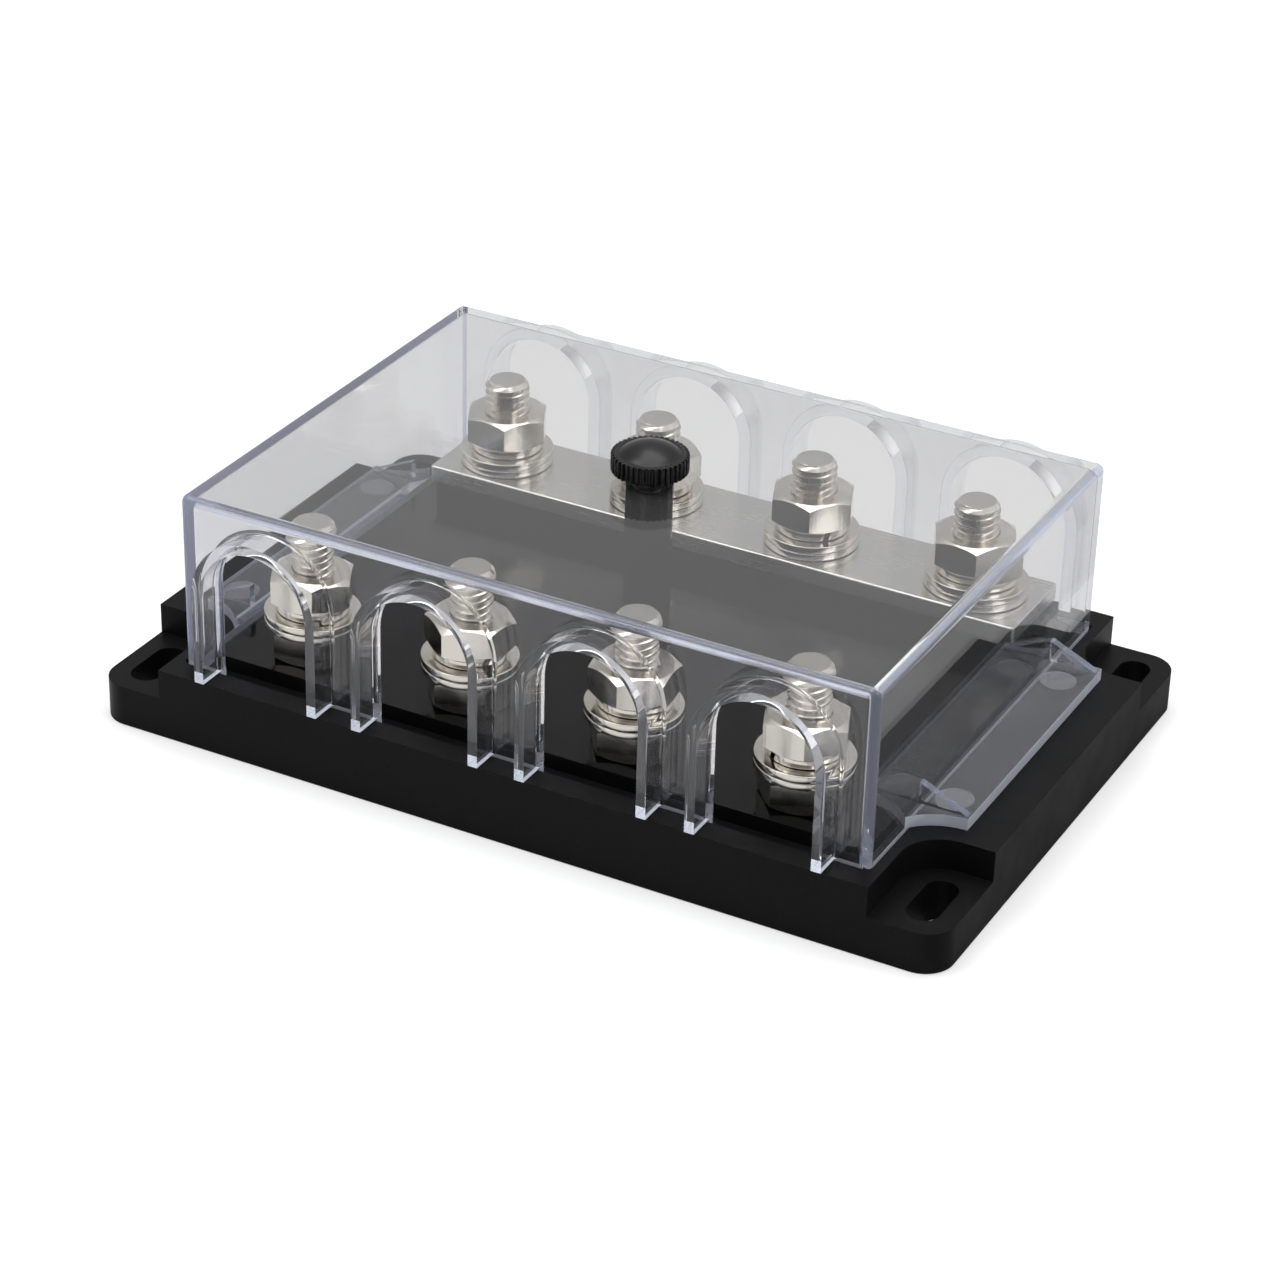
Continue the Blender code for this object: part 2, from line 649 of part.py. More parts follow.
def build_block():
    """Builds every piece, then hangs the fixed ones, the cover and the thumb screw on their guides."""
    clear_scene()
    parts = new_collection("fuse_block")
    tools = new_collection("cutters")
    black = new_material("black_moulding", (0.018, 0.018, 0.02), 0.42)
    clear = new_material("clear_polycarbonate", (0.86, 0.9, 0.95), 0.04, alpha=0.25)
    gloss = new_material("black_knob", (0.01, 0.01, 0.011), 0.25)
    nickel = new_material("nickel_plate", (0.78, 0.75, 0.69), 0.2, metallic=1.0)
    brass = new_material("brass", (0.72, 0.52, 0.24), 0.3, metallic=1.0)

    fixed = [build_base(parts, tools, black), build_bus_bar(parts, nickel), build_post_insert(parts, brass)]
    fixed += build_terminals(parts, tools, nickel)
    cover = build_cover(parts, tools, clear)
    knob, screw = build_thumb_screw(parts, tools, gloss, nickel)

    block = guide("block_frame", parts, 0)
    lift = guide("cover_frame", parts, COVER_FOOT_Z, block)
    turn = guide("thumb_screw_axis", parts, KNOB_Z, lift)
    for piece in fixed:
        hang(piece, block)
    hang(cover, lift)
    hang(knob, turn)
    hang(screw, turn)


build_block()
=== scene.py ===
# %% [markdown]
# # A fuse block under a clear cover
# This lesson dresses a working model of a fuse block: a black moulded base with eight plated
# terminals, a bus bar that joins the rear row, and a clear cover that a thumb screw holds.
# The solids come ready made in the frame. They are plain, so each gets a finer piece here with
# real edges, threads and finishes, and that piece takes the place of the solid.

# %% Load the frame
import math
import random

import bmesh
import bpy
from mathutils import Matrix, Vector


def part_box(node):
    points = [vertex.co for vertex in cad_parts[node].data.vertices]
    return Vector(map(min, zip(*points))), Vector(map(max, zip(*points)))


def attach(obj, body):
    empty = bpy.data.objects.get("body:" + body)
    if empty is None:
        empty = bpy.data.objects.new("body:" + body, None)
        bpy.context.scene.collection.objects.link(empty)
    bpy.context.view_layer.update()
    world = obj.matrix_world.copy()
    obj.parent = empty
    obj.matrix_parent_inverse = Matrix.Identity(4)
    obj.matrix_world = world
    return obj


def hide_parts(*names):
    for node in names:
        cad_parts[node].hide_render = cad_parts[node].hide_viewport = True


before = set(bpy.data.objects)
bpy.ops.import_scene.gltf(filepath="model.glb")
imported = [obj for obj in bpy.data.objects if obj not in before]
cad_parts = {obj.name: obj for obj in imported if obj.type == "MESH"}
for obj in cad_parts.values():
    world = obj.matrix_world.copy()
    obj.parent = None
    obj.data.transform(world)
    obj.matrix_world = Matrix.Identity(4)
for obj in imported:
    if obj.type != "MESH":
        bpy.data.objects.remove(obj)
scene = bpy.context.scene
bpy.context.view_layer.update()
MM = 0.001

# %% [markdown]
# ## Reading sizes from the frame
# A finer piece has to sit exactly where its solid sits. So the places of the studs and the heights
# in each stack are not typed again but read from the solids' own boxes.

# %% Read the layout
WAYS = 4
ROWS = ("front", "rear")


def span(node, axis):
    """The lowest and highest place of a solid along an axis, in metres."""
    low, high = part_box(node)
    return low[axis], high[axis]


def middle(node):
    """The middle of a solid's box."""
    low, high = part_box(node)
    return (Vector(low) + Vector(high)) / 2


stud_x = [middle(f"stud_front_{way}").x for way in range(1, WAYS + 1)]
row_y = {row: middle(f"stud_{row}_1").y for row in ROWS}
pitch = stud_x[1] - stud_x[0]
print("stud pitch:", round(pitch / MM, 2), "rows at:", {row: round(y / MM, 2) for row, y in row_y.items()})

# %% [markdown]
# ## Helpers for meshes
# A flat moulding is an outline that is pushed up to a thickness. The outline's face stays one
# polygon, because the Boolean and the Bevel that follow work best on few clean faces.

# %% Outlines


def arc(centre, radius, start, end, steps):
    """Points along an arc, both ends included."""
    angles = [start + (end - start) * step / steps for step in range(steps + 1)]
    return [(centre[0] + radius * math.cos(a), centre[1] + radius * math.sin(a)) for a in angles]


def ring(centre, diameter, steps=64):
    """A closed round outline."""
    return arc(centre, diameter / 2, 0, 2 * math.pi, steps)[:-1]


def rounded_box(low, high, radius, steps=12):
    """A closed rectangular outline with round corners."""
    points = []
    corners = [(high[0] - radius, high[1] - radius), (low[0] + radius, high[1] - radius),
               (low[0] + radius, low[1] + radius), (high[0] - radius, low[1] + radius)]
    for quarter, corner in enumerate(corners):
        start = quarter * math.pi / 2
        points += arc(corner, radius, start, start + math.pi / 2, steps)
    return points


def hexagon(centre, across_flats, turn=0.0):
    """A hexagon with its first corner at the given angle."""
    return arc(centre, across_flats / math.sqrt(3), turn, turn + 2 * math.pi, 6)[:-1]


print("outline points of a test box:", len(rounded_box((-1, -1), (1, 1), 0.2)))

# %% Solids from outlines


def object_from(shape, name):
    """Turns a bmesh into a shown object at the origin."""
    bmesh.ops.recalc_face_normals(shape, faces=shape.faces)
    mesh = bpy.data.meshes.new(name)
    shape.to_mesh(mesh)
    shape.free()
    made = bpy.data.objects.new(name, mesh)
    scene.collection.objects.link(made)
    return made


def prism(name, outlines, low, high, upright=False):
    """A block for each outline, from low to high. Upright outlines lie in the XZ plane."""
    shape = bmesh.new()
    for outline in outlines:
        if upright:
            floor = [shape.verts.new((x, low, z)) for x, z in outline]
            push = Vector((0, high - low, 0))
        else:
            floor = [shape.verts.new((x, y, low)) for x, y in outline]
            push = Vector((0, 0, high - low))
        face = shape.faces.new(floor)
        grown = bmesh.ops.extrude_face_region(shape, geom=[face], use_keep_orig=True)["geom"]
        bmesh.ops.translate(shape, vec=push, verts=[v for v in grown if isinstance(v, bmesh.types.BMVert)])
    return object_from(shape, name)


def corner_copies(outline):
    """An outline of the right rear corner, and its mirror images at the other three corners."""
    return [outline, [(-x, y) for x, y in outline], [(-x, -y) for x, y in outline], [(x, -y) for x, y in outline]]


print("helpers for solids are ready")

# %% Booleans, bevels and baking


def boolean(target, operation, tool):
    """Joins or cuts with a tool, which is then thrown away."""
    modifier = target.modifiers.new(operation, "BOOLEAN")
    modifier.operation = operation
    modifier.solver = "EXACT"
    modifier.object = tool
    bake(target)
    bpy.data.objects.remove(tool, do_unlink=True)


def bake(target):
    """Replaces an object's mesh by what its modifiers make of it, and takes the modifiers off."""
    bpy.context.view_layer.update()
    graph = bpy.context.evaluated_depsgraph_get()
    mesh = bpy.data.meshes.new_from_object(target.evaluated_get(graph))
    target.modifiers.clear()
    target.data = mesh
    return target


def tidy_flats(target, degrees=0.2):
    """Merges the slivers that a Boolean leaves on flat faces."""
    shape = bmesh.new()
    shape.from_mesh(target.data)
    bmesh.ops.remove_doubles(shape, verts=shape.verts, dist=0.002 * MM)
    bmesh.ops.dissolve_limit(shape, angle_limit=math.radians(degrees), verts=shape.verts, edges=shape.edges)
    shape.to_mesh(target.data)
    shape.free()


def soften(target, width, segments=2, sharper_than=35):
    """Rounds the edges that are sharper than an angle, and shades the rest smooth."""
    modifier = target.modifiers.new("edges", "BEVEL")
    modifier.width = width
    modifier.segments = segments
    modifier.limit_method = "ANGLE"
    modifier.angle_limit = math.radians(sharper_than)
    modifier.harden_normals = False
    bake(target)
    shade(target)
    steady_normals(target)


def shade(target, degrees=32):
    """Smooth shading with crisp edges."""
    target.data.shade_smooth()
    target.data.set_sharp_from_angle(angle=math.radians(degrees))


def steady_normals(target):
    """Keeps a large flat face flat in its shading where it runs into a rounded edge."""
    modifier = target.modifiers.new("normals", "WEIGHTED_NORMAL")
    modifier.keep_sharp = True
    bake(target)


print("helpers for finishing are ready")

# %% [markdown]
# ## Helpers for Geometry Nodes
# A node tree is a recipe with named sizes. Whatever repeats on this block, such as the arches, the
# threads, the knurling and the terminals, is grown by such a tree. The tree is run once and its
# result kept as a plain mesh, so that other programs can read it too.

# %% Build and run a node tree


def new_tree(name, **sizes):
    """A tree with a Geometry input and output, and a named input for each size."""
    tree = bpy.data.node_groups.new(name, "GeometryNodeTree")
    tree.interface.new_socket("Geometry", in_out="INPUT", socket_type="NodeSocketGeometry")
    for label, value in sizes.items():
        kind = "NodeSocketInt" if isinstance(value, int) else "NodeSocketFloat"
        socket = tree.interface.new_socket(label.replace("_", " "), in_out="INPUT", socket_type=kind)
        socket.default_value = value
    tree.interface.new_socket("Geometry", in_out="OUTPUT", socket_type="NodeSocketGeometry")
    return tree, tree.nodes.new("NodeGroupInput").outputs


def add(tree, kind, inputs=None, output=0, **settings):
    """Adds a node, fills its inputs with values or links, and returns one of its outputs."""
    made = tree.nodes.new(kind)
    for label, value in settings.items():
        setattr(made, label, value)
    for label, value in (inputs or {}).items():
        if isinstance(value, bpy.types.NodeSocket):
            tree.links.new(value, made.inputs[label])
        else:
            made.inputs[label].default_value = value
    return made.outputs[output]


def calc(tree, operation, *values):
    """One step of arithmetic."""
    return add(tree, "ShaderNodeMath", dict(enumerate(values)), operation=operation)


def finish_tree(tree, geometry, material):
    """Ends a tree: real copies instead of instances, and a material."""
    real = add(tree, "GeometryNodeRealizeInstances", {"Geometry": geometry})
    last = add(tree, "GeometryNodeSetMaterial", {"Geometry": real, "Material": material})
    tree.links.new(last, tree.nodes.new("NodeGroupOutput").inputs[0])


def grow(name, tree, start=None, **sizes):
    """Runs a tree on an object or on nothing, and returns the result as a plain object."""
    mesh = start.data if start else bpy.data.meshes.new(name)
    made = bpy.data.objects.new(name, mesh)
    scene.collection.objects.link(made)
    modifier = made.modifiers.new(tree.name, "NODES")
    modifier.node_group = tree
    sockets = {item.name: item.identifier for item in tree.interface.items_tree if item.in_out == "INPUT"}
    for label, value in sizes.items():
        modifier[sockets[label.replace("_", " ")]] = value
    if start:
        bpy.data.objects.remove(start, do_unlink=True)
    return bake(made)


print("helpers for node trees are ready")

# %% [markdown]
# ## Helpers for materials
# Every finish is one Principled shader whose roughness and bump come from procedural noise. The
# noise is measured in real metres, so a grain of 0.3 mm stays 0.3 mm on every piece.

# %% Material helpers


def new_material(name):
    """An empty material with a Principled shader, its tree, and the shader."""
    material = bpy.data.materials.new(name)
    material.use_nodes = True
    tree = material.node_tree
    return material, tree, tree.nodes["Principled BSDF"]


def noise(tree, scale, detail=3.0, roughness=0.55, vector=None):
    """Noise on the piece's own coordinates, with features of about 1 / scale metres."""
    place = vector or add(tree, "ShaderNodeTexCoord", output="Object")
    return add(tree, "ShaderNodeTexNoise", {"Vector": place, "Scale": scale, "Detail": detail,
                                            "Roughness": roughness})


def remap(tree, value, low, high, to_low, to_high):
    """Stretches a value from one range to another."""
    return add(tree, "ShaderNodeMapRange", {"Value": value, "From Min": low, "From Max": high,
                                            "To Min": to_low, "To Max": to_high})


def bump(tree, shader, height, strength, distance):
    """Roughens the surface in its shading only."""
    normal = add(tree, "ShaderNodeBump", {"Height": height, "Strength": strength, "Distance": distance})
    tree.links.new(normal, shader.inputs["Normal"])


def two_tone(tree, factor, first, second):
    """Mixes two colours by a factor."""
    mix = tree.nodes.new("ShaderNodeMix")
    mix.data_type = "RGBA"
    tree.links.new(factor, mix.inputs[0])
    mix.inputs[6].default_value = (*first, 1)
    mix.inputs[7].default_value = (*second, 1)
    return mix.outputs[2]


print("material helpers are ready")

# %% [markdown]
# ## Black plastics
# The base is one moulding, but its surfaces differ. The rim and the ears came off a lightly
# textured tool and look satin. The raised floor between the studs is polished and mirrors the
# nuts. Both carry a little pale dust, which a satin black never hides.

# %% Satin and polished black


def black_plastic(name, colour, roughness, gloss, grain, dust):
    """Black moulded plastic with a fine grain and a little dust."""
    material, tree, shader = new_material(name)
    shader.inputs["Specular IOR Level"].default_value = gloss
    speck = noise(tree, 2600, 2.0)
    fleck = remap(tree, speck, 0.70, 0.78, 0.0, dust)
    tree.links.new(two_tone(tree, fleck, colour, (0.30, 0.30, 0.30)), shader.inputs["Base Color"])
    cloud = noise(tree, 90, 4.0)
    tree.links.new(remap(tree, cloud, 0.3, 0.7, roughness * 0.85, roughness * 1.2), shader.inputs["Roughness"])
    bump(tree, shader, noise(tree, 3200, 2.0), grain, 0.05 * MM)
    return material


satin_black = black_plastic("satin_black", (0.0045, 0.0045, 0.005), 0.42, 0.10, 0.35, 0.06)
polished_black = black_plastic("polished_black", (0.0025, 0.0025, 0.003), 0.10, 0.24, 0.04, 0.06)
knob_black = black_plastic("knob_black", (0.004, 0.004, 0.0045), 0.26, 0.35, 0.10, 0.05)
print("black finishes:", satin_black.name, polished_black.name, knob_black.name)

# %% [markdown]
# ## Nickel plate
# Nickel is a little warmer than chrome. Turned pieces carry faint rings round their own axis. Each
# copy of a nut or washer therefore remembers where its points were before it was placed, in an
# attribute called own place, and the rings are drawn on that.

# %% Bright nickel


def nickel(name, tint, roughness, rings):
    """Plated metal with soft wear, fine scratches and turning rings."""
    material, tree, shader = new_material(name)
    shader.inputs["Metallic"].default_value = 1.0
    place = add(tree, "ShaderNodeAttribute", output="Vector", attribute_name="own_place")
    cloud = noise(tree, 260, 4.0)
    tree.links.new(two_tone(tree, cloud, tint, [value * 0.9 for value in tint]), shader.inputs["Base Color"])
    tree.links.new(remap(tree, cloud, 0.3, 0.7, roughness * 0.7, roughness * 1.35), shader.inputs["Roughness"])
    turned = add(tree, "ShaderNodeTexWave", {"Vector": place, "Scale": 1200.0, "Distortion": 1.5, "Detail": 2.0},
                 output="Fac", wave_type="RINGS", rings_direction="Z")
    height = calc(tree, "MULTIPLY_ADD", turned, rings, noise(tree, 900, 3.0))
    bump(tree, shader, height, 0.12, 0.04 * MM)
    return material


bright_nickel = nickel("bright_nickel", (0.80, 0.765, 0.70), 0.16, 0.5)
print("metal finish:", bright_nickel.name)

# %% Brushed bar and brass


def brushed(name, tint, roughness):
    """Plated bar stock with fine lines along its length."""
    material, tree, shader = new_material(name)
    shader.inputs["Metallic"].default_value = 1.0
    place = add(tree, "ShaderNodeTexCoord", output="Object")
    along = add(tree, "ShaderNodeMapping", {"Vector": place, "Scale": (0.02, 1.0, 1.0)})
    lines = noise(tree, 5200, 3.0, vector=along)
    cloud = noise(tree, 70, 3.0)
    tree.links.new(two_tone(tree, cloud, tint, [value * 0.88 for value in tint]), shader.inputs["Base Color"])
    mixed = calc(tree, "MULTIPLY_ADD", lines, 0.5, cloud)
    tree.links.new(remap(tree, mixed, 0.4, 1.1, roughness * 0.8, roughness * 1.3), shader.inputs["Roughness"])
    bump(tree, shader, lines, 0.06, 0.03 * MM)
    return material


bar_nickel = brushed("bar_nickel", (0.74, 0.73, 0.70), 0.24)
brass = brushed("turned_brass", (0.74, 0.55, 0.26), 0.22)
print("bar finishes:", bar_nickel.name, brass.name)

# %% [markdown]
# ## Clear plastic
# A camera ray is bent as it passes through the cover, which draws the bright and dark edges of the
# arches. Lamps shine straight through, because the bent light of a thin cover only adds noise to
# what lies under it. The index is a little under polycarbonate's 1.585, as the real cover's soft
# edges ask for. Where the mould was left rough, on edges, ends and feet, part of the light is
# scattered instead, and the plastic looks like bluish frost. A ray that is reflected again and
# again inside a wall would turn it dark, so the rear walls let it straight out, and the left wall
# shows a pale lilac there, painted light that stands in for the light the wall carries.

# %% Polycarbonate
INDEX = 1.46
TRAPPED = 0.98
STRAIGHT_OUT = (1.0, 1.0, 1.0)
LILAC_PAINTED_LIGHT = (0.42, 0.42, 0.52)


def polycarbonate(name, tint, clearness, roughness, trapped=None):
    """Clear plastic that bends what is seen and lets lamps through. What isn't clear of it is white
    haze. Light that stays trapped in a wall can go straight out instead, or meet a pale colour."""
    material, tree, shader = new_material(name)
    shader.inputs["Base Color"].default_value = (*tint, 1)
    shader.inputs["IOR"].default_value = INDEX
    shader.inputs["Transmission Weight"].default_value = clearness
    smear = noise(tree, 40, 4.0)
    tree.links.new(remap(tree, smear, 0.35, 0.75, roughness, roughness + 0.04), shader.inputs["Roughness"])
    see_through = add(tree, "ShaderNodeBsdfTransparent", {"Color": (0.92, 0.93, 0.95, 1)})
    surface = shader.outputs[0]
    if trapped:
        inside = calc(tree, "GREATER_THAN", add(tree, "ShaderNodeFresnel", {"IOR": INDEX}), TRAPPED)
        way_out = see_through
        if trapped != STRAIGHT_OUT:
            # The pale colour is painted light: it stands in for the light that the wall carries
            way_out = add(tree, "ShaderNodeBsdfDiffuse", {"Color": (*trapped, 1)})
        surface = add(tree, "ShaderNodeMixShader", {0: inside, 1: surface, 2: way_out})
    path = tree.nodes.new("ShaderNodeLightPath")
    passing = calc(tree, "MAXIMUM", path.outputs["Is Shadow Ray"], path.outputs["Is Diffuse Ray"])
    surface = add(tree, "ShaderNodeMixShader", {0: passing, 1: surface, 2: see_through})
    tree.links.new(surface, tree.nodes["Material Output"].inputs["Surface"])
    return material


print("refractive index:", INDEX)

# %% Finishes of the cover
clear_plastic = polycarbonate("clear_polycarbonate", (0.94, 0.94, 0.96), 0.985, 0.0)
# The top, the rear walls, the rear lips and the right wall are darker copies of the clear plastic: painted shade
top_plastic_shaded = polycarbonate("top_polycarbonate_painted_shade", (0.865, 0.865, 0.87), 0.98, 0.0)
rear_plastic_shaded = polycarbonate("rear_polycarbonate_painted_shade", (0.91, 0.91, 0.915), 0.985, 0.0, STRAIGHT_OUT)
rear_lip_plastic_shaded = polycarbonate("rear_lip_polycarbonate_painted_shade", (0.90, 0.90, 0.91), 0.985, 0.0, STRAIGHT_OUT)
left_plastic = polycarbonate("left_polycarbonate", (0.94, 0.94, 0.96), 0.985, 0.0, LILAC_PAINTED_LIGHT)
right_plastic_shaded = polycarbonate("right_polycarbonate_painted_shade", (0.86, 0.86, 0.88), 0.985, 0.0)
hazy_plastic = polycarbonate("hazy_polycarbonate", (0.86, 0.88, 0.93), 0.965, 0.04)
marked_plastic = polycarbonate("pin_marked_polycarbonate", (0.90, 0.91, 0.95), 0.87, 0.10)
rounded_plastic = polycarbonate("rounded_polycarbonate", (0.58, 0.62, 0.79), 0.80, 0.10)
frosted_plastic = polycarbonate("frosted_polycarbonate", (0.80, 0.84, 0.94), 0.45, 0.30)
print("clear finishes:", [m.name for m in bpy.data.materials if "polycarbonate" in m.name])

# %% [markdown]
# ## The base
# The real base is a thick moulding with four lower ears, a groove that takes the cover's skirt, a
# raised floor for the studs, a pad for the bus bar and a post for the thumb screw. It is built in
# the order of the real tool: the outer block first, then what stands on it, then what is cut away.

# %% Sizes of the base
base_low, base_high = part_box("base")
cover_low, cover_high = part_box("cover")
bar_low, bar_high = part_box("bus_bar")
RIM = 12.2 * MM
GROOVE_FLOOR = RIM - 1.5 * MM
ISLAND_TOP = RIM + 1.1 * MM
GROOVE = (60.9 * MM, 43.5 * MM)
ISLAND = (57.3 * MM, 39.9 * MM)
EAR = (12.3 * MM, 18.4 * MM)
EAR_TOP = 7.0 * MM
EAR_FILLET = 7.0 * MM
SLOT = (5.2 * MM, 11.7 * MM)
SLOT_FROM_END = 5.8 * MM
CORNER = 5.0 * MM
POST_DIAMETER = 7.7 * MM
BAR_SEAT_INSET = 0.6 * MM
BAR_SEAT_GAP = 0.15 * MM
half_x = base_high[0]
half_y = base_high[1]
print("base half sizes in mm:", round(half_x / MM, 2), round(half_y / MM, 2))

# %% Grow the block
root = GROOVE_FLOOR - 1.0 * MM
base = prism("base_moulding", [rounded_box((-half_x, -half_y), (half_x, half_y), CORNER)], base_low[2], RIM)
groove = prism("groove", [rounded_box((-GROOVE[0], -GROOVE[1]), GROOVE, 1.4 * MM, 4)], GROOVE_FLOOR, 2 * RIM)
boolean(base, "DIFFERENCE", groove)
island = prism("island", [rounded_box((-ISLAND[0], -ISLAND[1]), ISLAND, 2.0 * MM, 6)], root, ISLAND_TOP)
boolean(base, "UNION", island)
pad_low = (bar_low[0] + BAR_SEAT_INSET, bar_low[1] + BAR_SEAT_INSET)
pad_high = (bar_high[0] - BAR_SEAT_INSET, bar_high[1] - BAR_SEAT_INSET)
pad = prism("bar_pad", [rounded_box(pad_low, pad_high, 0.6 * MM, 3)], root, bar_low[2] - BAR_SEAT_GAP)
boolean(base, "UNION", pad)
boolean(base, "UNION", prism("post", [ring((0, 0), POST_DIAMETER)], root, base_high[2]))
print("faces after the raised parts:", len(base.data.polygons))

# %% Cut the ears and the slots
inner_x = half_x - EAR[0]
inner_y = half_y - EAR[1]
beyond = 5 * MM
fillet = arc((inner_x + EAR_FILLET, inner_y + EAR_FILLET), EAR_FILLET, math.pi, 1.5 * math.pi, 16)
pocket = fillet + [(half_x + beyond, inner_y), (half_x + beyond, half_y + beyond), (inner_x, half_y + beyond)]
boolean(base, "DIFFERENCE", prism("pockets", corner_copies(pocket), EAR_TOP, 2 * RIM))
slot_x = half_x - SLOT_FROM_END
slot_y = half_y - EAR[1] / 2
slot_low = (slot_x - SLOT[0] / 2, slot_y - SLOT[1] / 2)
slot_high = (slot_x + SLOT[0] / 2, slot_y + SLOT[1] / 2)
slot = rounded_box(slot_low, slot_high, SLOT[0] / 2 - 0.01 * MM, 12)
boolean(base, "DIFFERENCE", prism("slots", corner_copies(slot), -beyond, 2 * RIM))
print("faces after the ears:", len(base.data.polygons))

# %% Sockets and holes for the studs
HEAD_FLATS = 13.6 * MM
HEAD_POCKET = 5.9 * MM
STUD_HOLE = 8.6 * MM
INSERT_HOLE = 5.8 * MM
INSERT_DEPTH = 12 * MM
places = [(x, row_y[row]) for row in ROWS for x in stud_x]
sockets = [hexagon(spot, HEAD_FLATS, math.pi / 6) for spot in places]
boolean(base, "DIFFERENCE", prism("sockets", sockets, -beyond, HEAD_POCKET))
boolean(base, "DIFFERENCE", prism("stud_holes", [ring(spot, STUD_HOLE, 32) for spot in places], 0, 2 * RIM))
insert_hole = [ring((0, 0), INSERT_HOLE)]
boolean(base, "DIFFERENCE", prism("insert_hole", insert_hole, base_high[2] - INSERT_DEPTH, 4 * RIM))
tidy_flats(base)
soften(base, 0.35 * MM)
print("faces of the finished base:", len(base.data.polygons))

# %% [markdown]
# The raised floor is polished and the rest is satin, so the base carries two materials. Which face
# gets which is decided by where it lies.

# %% Two finishes on one moulding
base.data.materials.clear()
base.data.materials.append(satin_black)
base.data.materials.append(polished_black)
for face in base.data.polygons:
    inside = abs(face.center.x) < ISLAND[0] + 0.1 * MM and abs(face.center.y) < ISLAND[1] + 0.1 * MM
    if inside and face.center.z > ISLAND_TOP - 0.4 * MM:
        face.material_index = 1
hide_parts("base")
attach(base, "block")
print("polished faces:", sum(face.material_index for face in base.data.polygons))

# %% [markdown]
# ## The bus bar
# A flat bar of plated copper lies under all four rear terminals. Its solid already has the right
# outline, so a copy is merged and only its edges are rounded, because the bright front edge is
# what the eye finds first.

# %% Soften a copy of the bar
bar = bpy.data.objects.new("bus_bar_plate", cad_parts["bus_bar"].data.copy())
scene.collection.objects.link(bar)
tidy_flats(bar)
soften(bar, 0.3 * MM, 3)
bar.data.materials.clear()
bar.data.materials.append(bar_nickel)
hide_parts("bus_bar")
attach(bar, "block")
print("bar faces:", len(bar.data.polygons))

# %% [markdown]
# ## A real thread
# A metric thread is a rule, so a node tree can grow it. A grid is wrapped round the axis, and each
# of its rows climbs by one pitch in a turn, so that crest, flank and root each follow a row and
# stay crisp. The tip is limited by a cone, and the first and last rows shrink to a point, which
# closes the rod.

# %% Tree for a threaded rod
thread, size = new_tree("thread", Diameter=8 * MM, Pitch=1.25 * MM, Depth=0.7 * MM, Length=20 * MM,
                        Chamfer=0.8 * MM, Sides=56, Steps_a_turn=12)
along = calc(thread, "CEIL", calc(thread, "MULTIPLY", calc(thread, "DIVIDE", size["Length"], size["Pitch"]),
                                  size["Steps a turn"]))
rows = calc(thread, "ADD", calc(thread, "ADD", along, size["Steps a turn"]), 3.0)
grid = add(thread, "GeometryNodeMeshGrid", {"Size X": 1.0, "Size Y": 1.0, "Vertices X": size["Sides"],
                                            "Vertices Y": rows})
axes = thread.nodes.new("ShaderNodeSeparateXYZ")
thread.links.new(add(thread, "GeometryNodeInputPosition"), axes.inputs[0])
last_row = calc(thread, "SUBTRACT", rows, 1.0)
row = calc(thread, "ROUND", calc(thread, "MULTIPLY", calc(thread, "ADD", axes.outputs["Y"], 0.5), last_row))
turns_up = calc(thread, "DIVIDE", calc(thread, "SUBTRACT", row, 1.0), size["Steps a turn"])
slanted = calc(thread, "ADD", turns_up, calc(thread, "SUBTRACT", axes.outputs["X"], 0.5))
height = add(thread, "ShaderNodeClamp", {"Value": calc(thread, "MULTIPLY", slanted, size["Pitch"]),
                                         "Max": size["Length"]})
helix = calc(thread, "SUBTRACT", calc(thread, "DIVIDE", height, size["Pitch"]), axes.outputs["X"])
print("grid and helix nodes:", len(thread.nodes))

# %% Ridge, tip and wrap
phase = calc(thread, "ABSOLUTE", calc(thread, "SUBTRACT", calc(thread, "FRACT", helix), 0.5))
ridge = remap(thread, phase, 1 / 12, 5 / 12, 1.0, 0.0)
radius = calc(thread, "MULTIPLY", size["Diameter"], 0.5)
threaded = calc(thread, "SUBTRACT", radius, calc(thread, "MULTIPLY", ridge, size["Depth"]))
to_tip = calc(thread, "SUBTRACT", size["Length"], height)
cone = calc(thread, "ADD", calc(thread, "SUBTRACT", radius, size["Chamfer"]), to_tip)
limited = calc(thread, "MINIMUM", threaded, cone)
above = calc(thread, "GREATER_THAN", row, 0.5)
below = calc(thread, "LESS_THAN", row, calc(thread, "SUBTRACT", last_row, 0.5))
reach = calc(thread, "MULTIPLY", limited, calc(thread, "MULTIPLY", above, below))
turn = calc(thread, "MULTIPLY", axes.outputs["X"], 2 * math.pi)
wrapped = add(thread, "ShaderNodeCombineXYZ", {"X": calc(thread, "MULTIPLY", reach, calc(thread, "COSINE", turn)),
                                               "Y": calc(thread, "MULTIPLY", reach, calc(thread, "SINE", turn)),
                                               "Z": height})
rod = add(thread, "GeometryNodeSetPosition", {"Geometry": grid, "Position": wrapped})
closed = add(thread, "GeometryNodeMergeByDistance", {"Geometry": rod, "Distance": 0.001 * MM})
finish_tree(thread, closed, bright_nickel)
print("thread nodes:", len(thread.nodes))

# %% [markdown]
# ## One terminal
# Each terminal is a stack on a stud: on the front row a seat nut, then two flat washers, a split
# spring washer and a nut. One of each is made at the origin, and the copies are placed later. The
# thread is a little slimmer than its nominal size, as a real rolled and plated one is.

# %% The stud
stud_low, stud_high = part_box("stud_front_1")
HEAD_HEIGHT = 5.3 * MM
FLATS = 13 * MM
THREAD = 7.6 * MM
rod_length = stud_high[2] - stud_low[2] - HEAD_HEIGHT / 2
stud = grow("stud_rod", thread, Length=rod_length, Diameter=THREAD)
stud.data.transform(Matrix.Translation((0, 0, HEAD_HEIGHT / 2)))
shade(stud, 30)
reaches = [v.co.xy.length for v in stud.data.vertices if HEAD_HEIGHT < v.co.z < rod_length - 2 * MM]
print("root and crest radius in mm:", round(min(reaches) / MM, 2), round(max(reaches) / MM, 2))

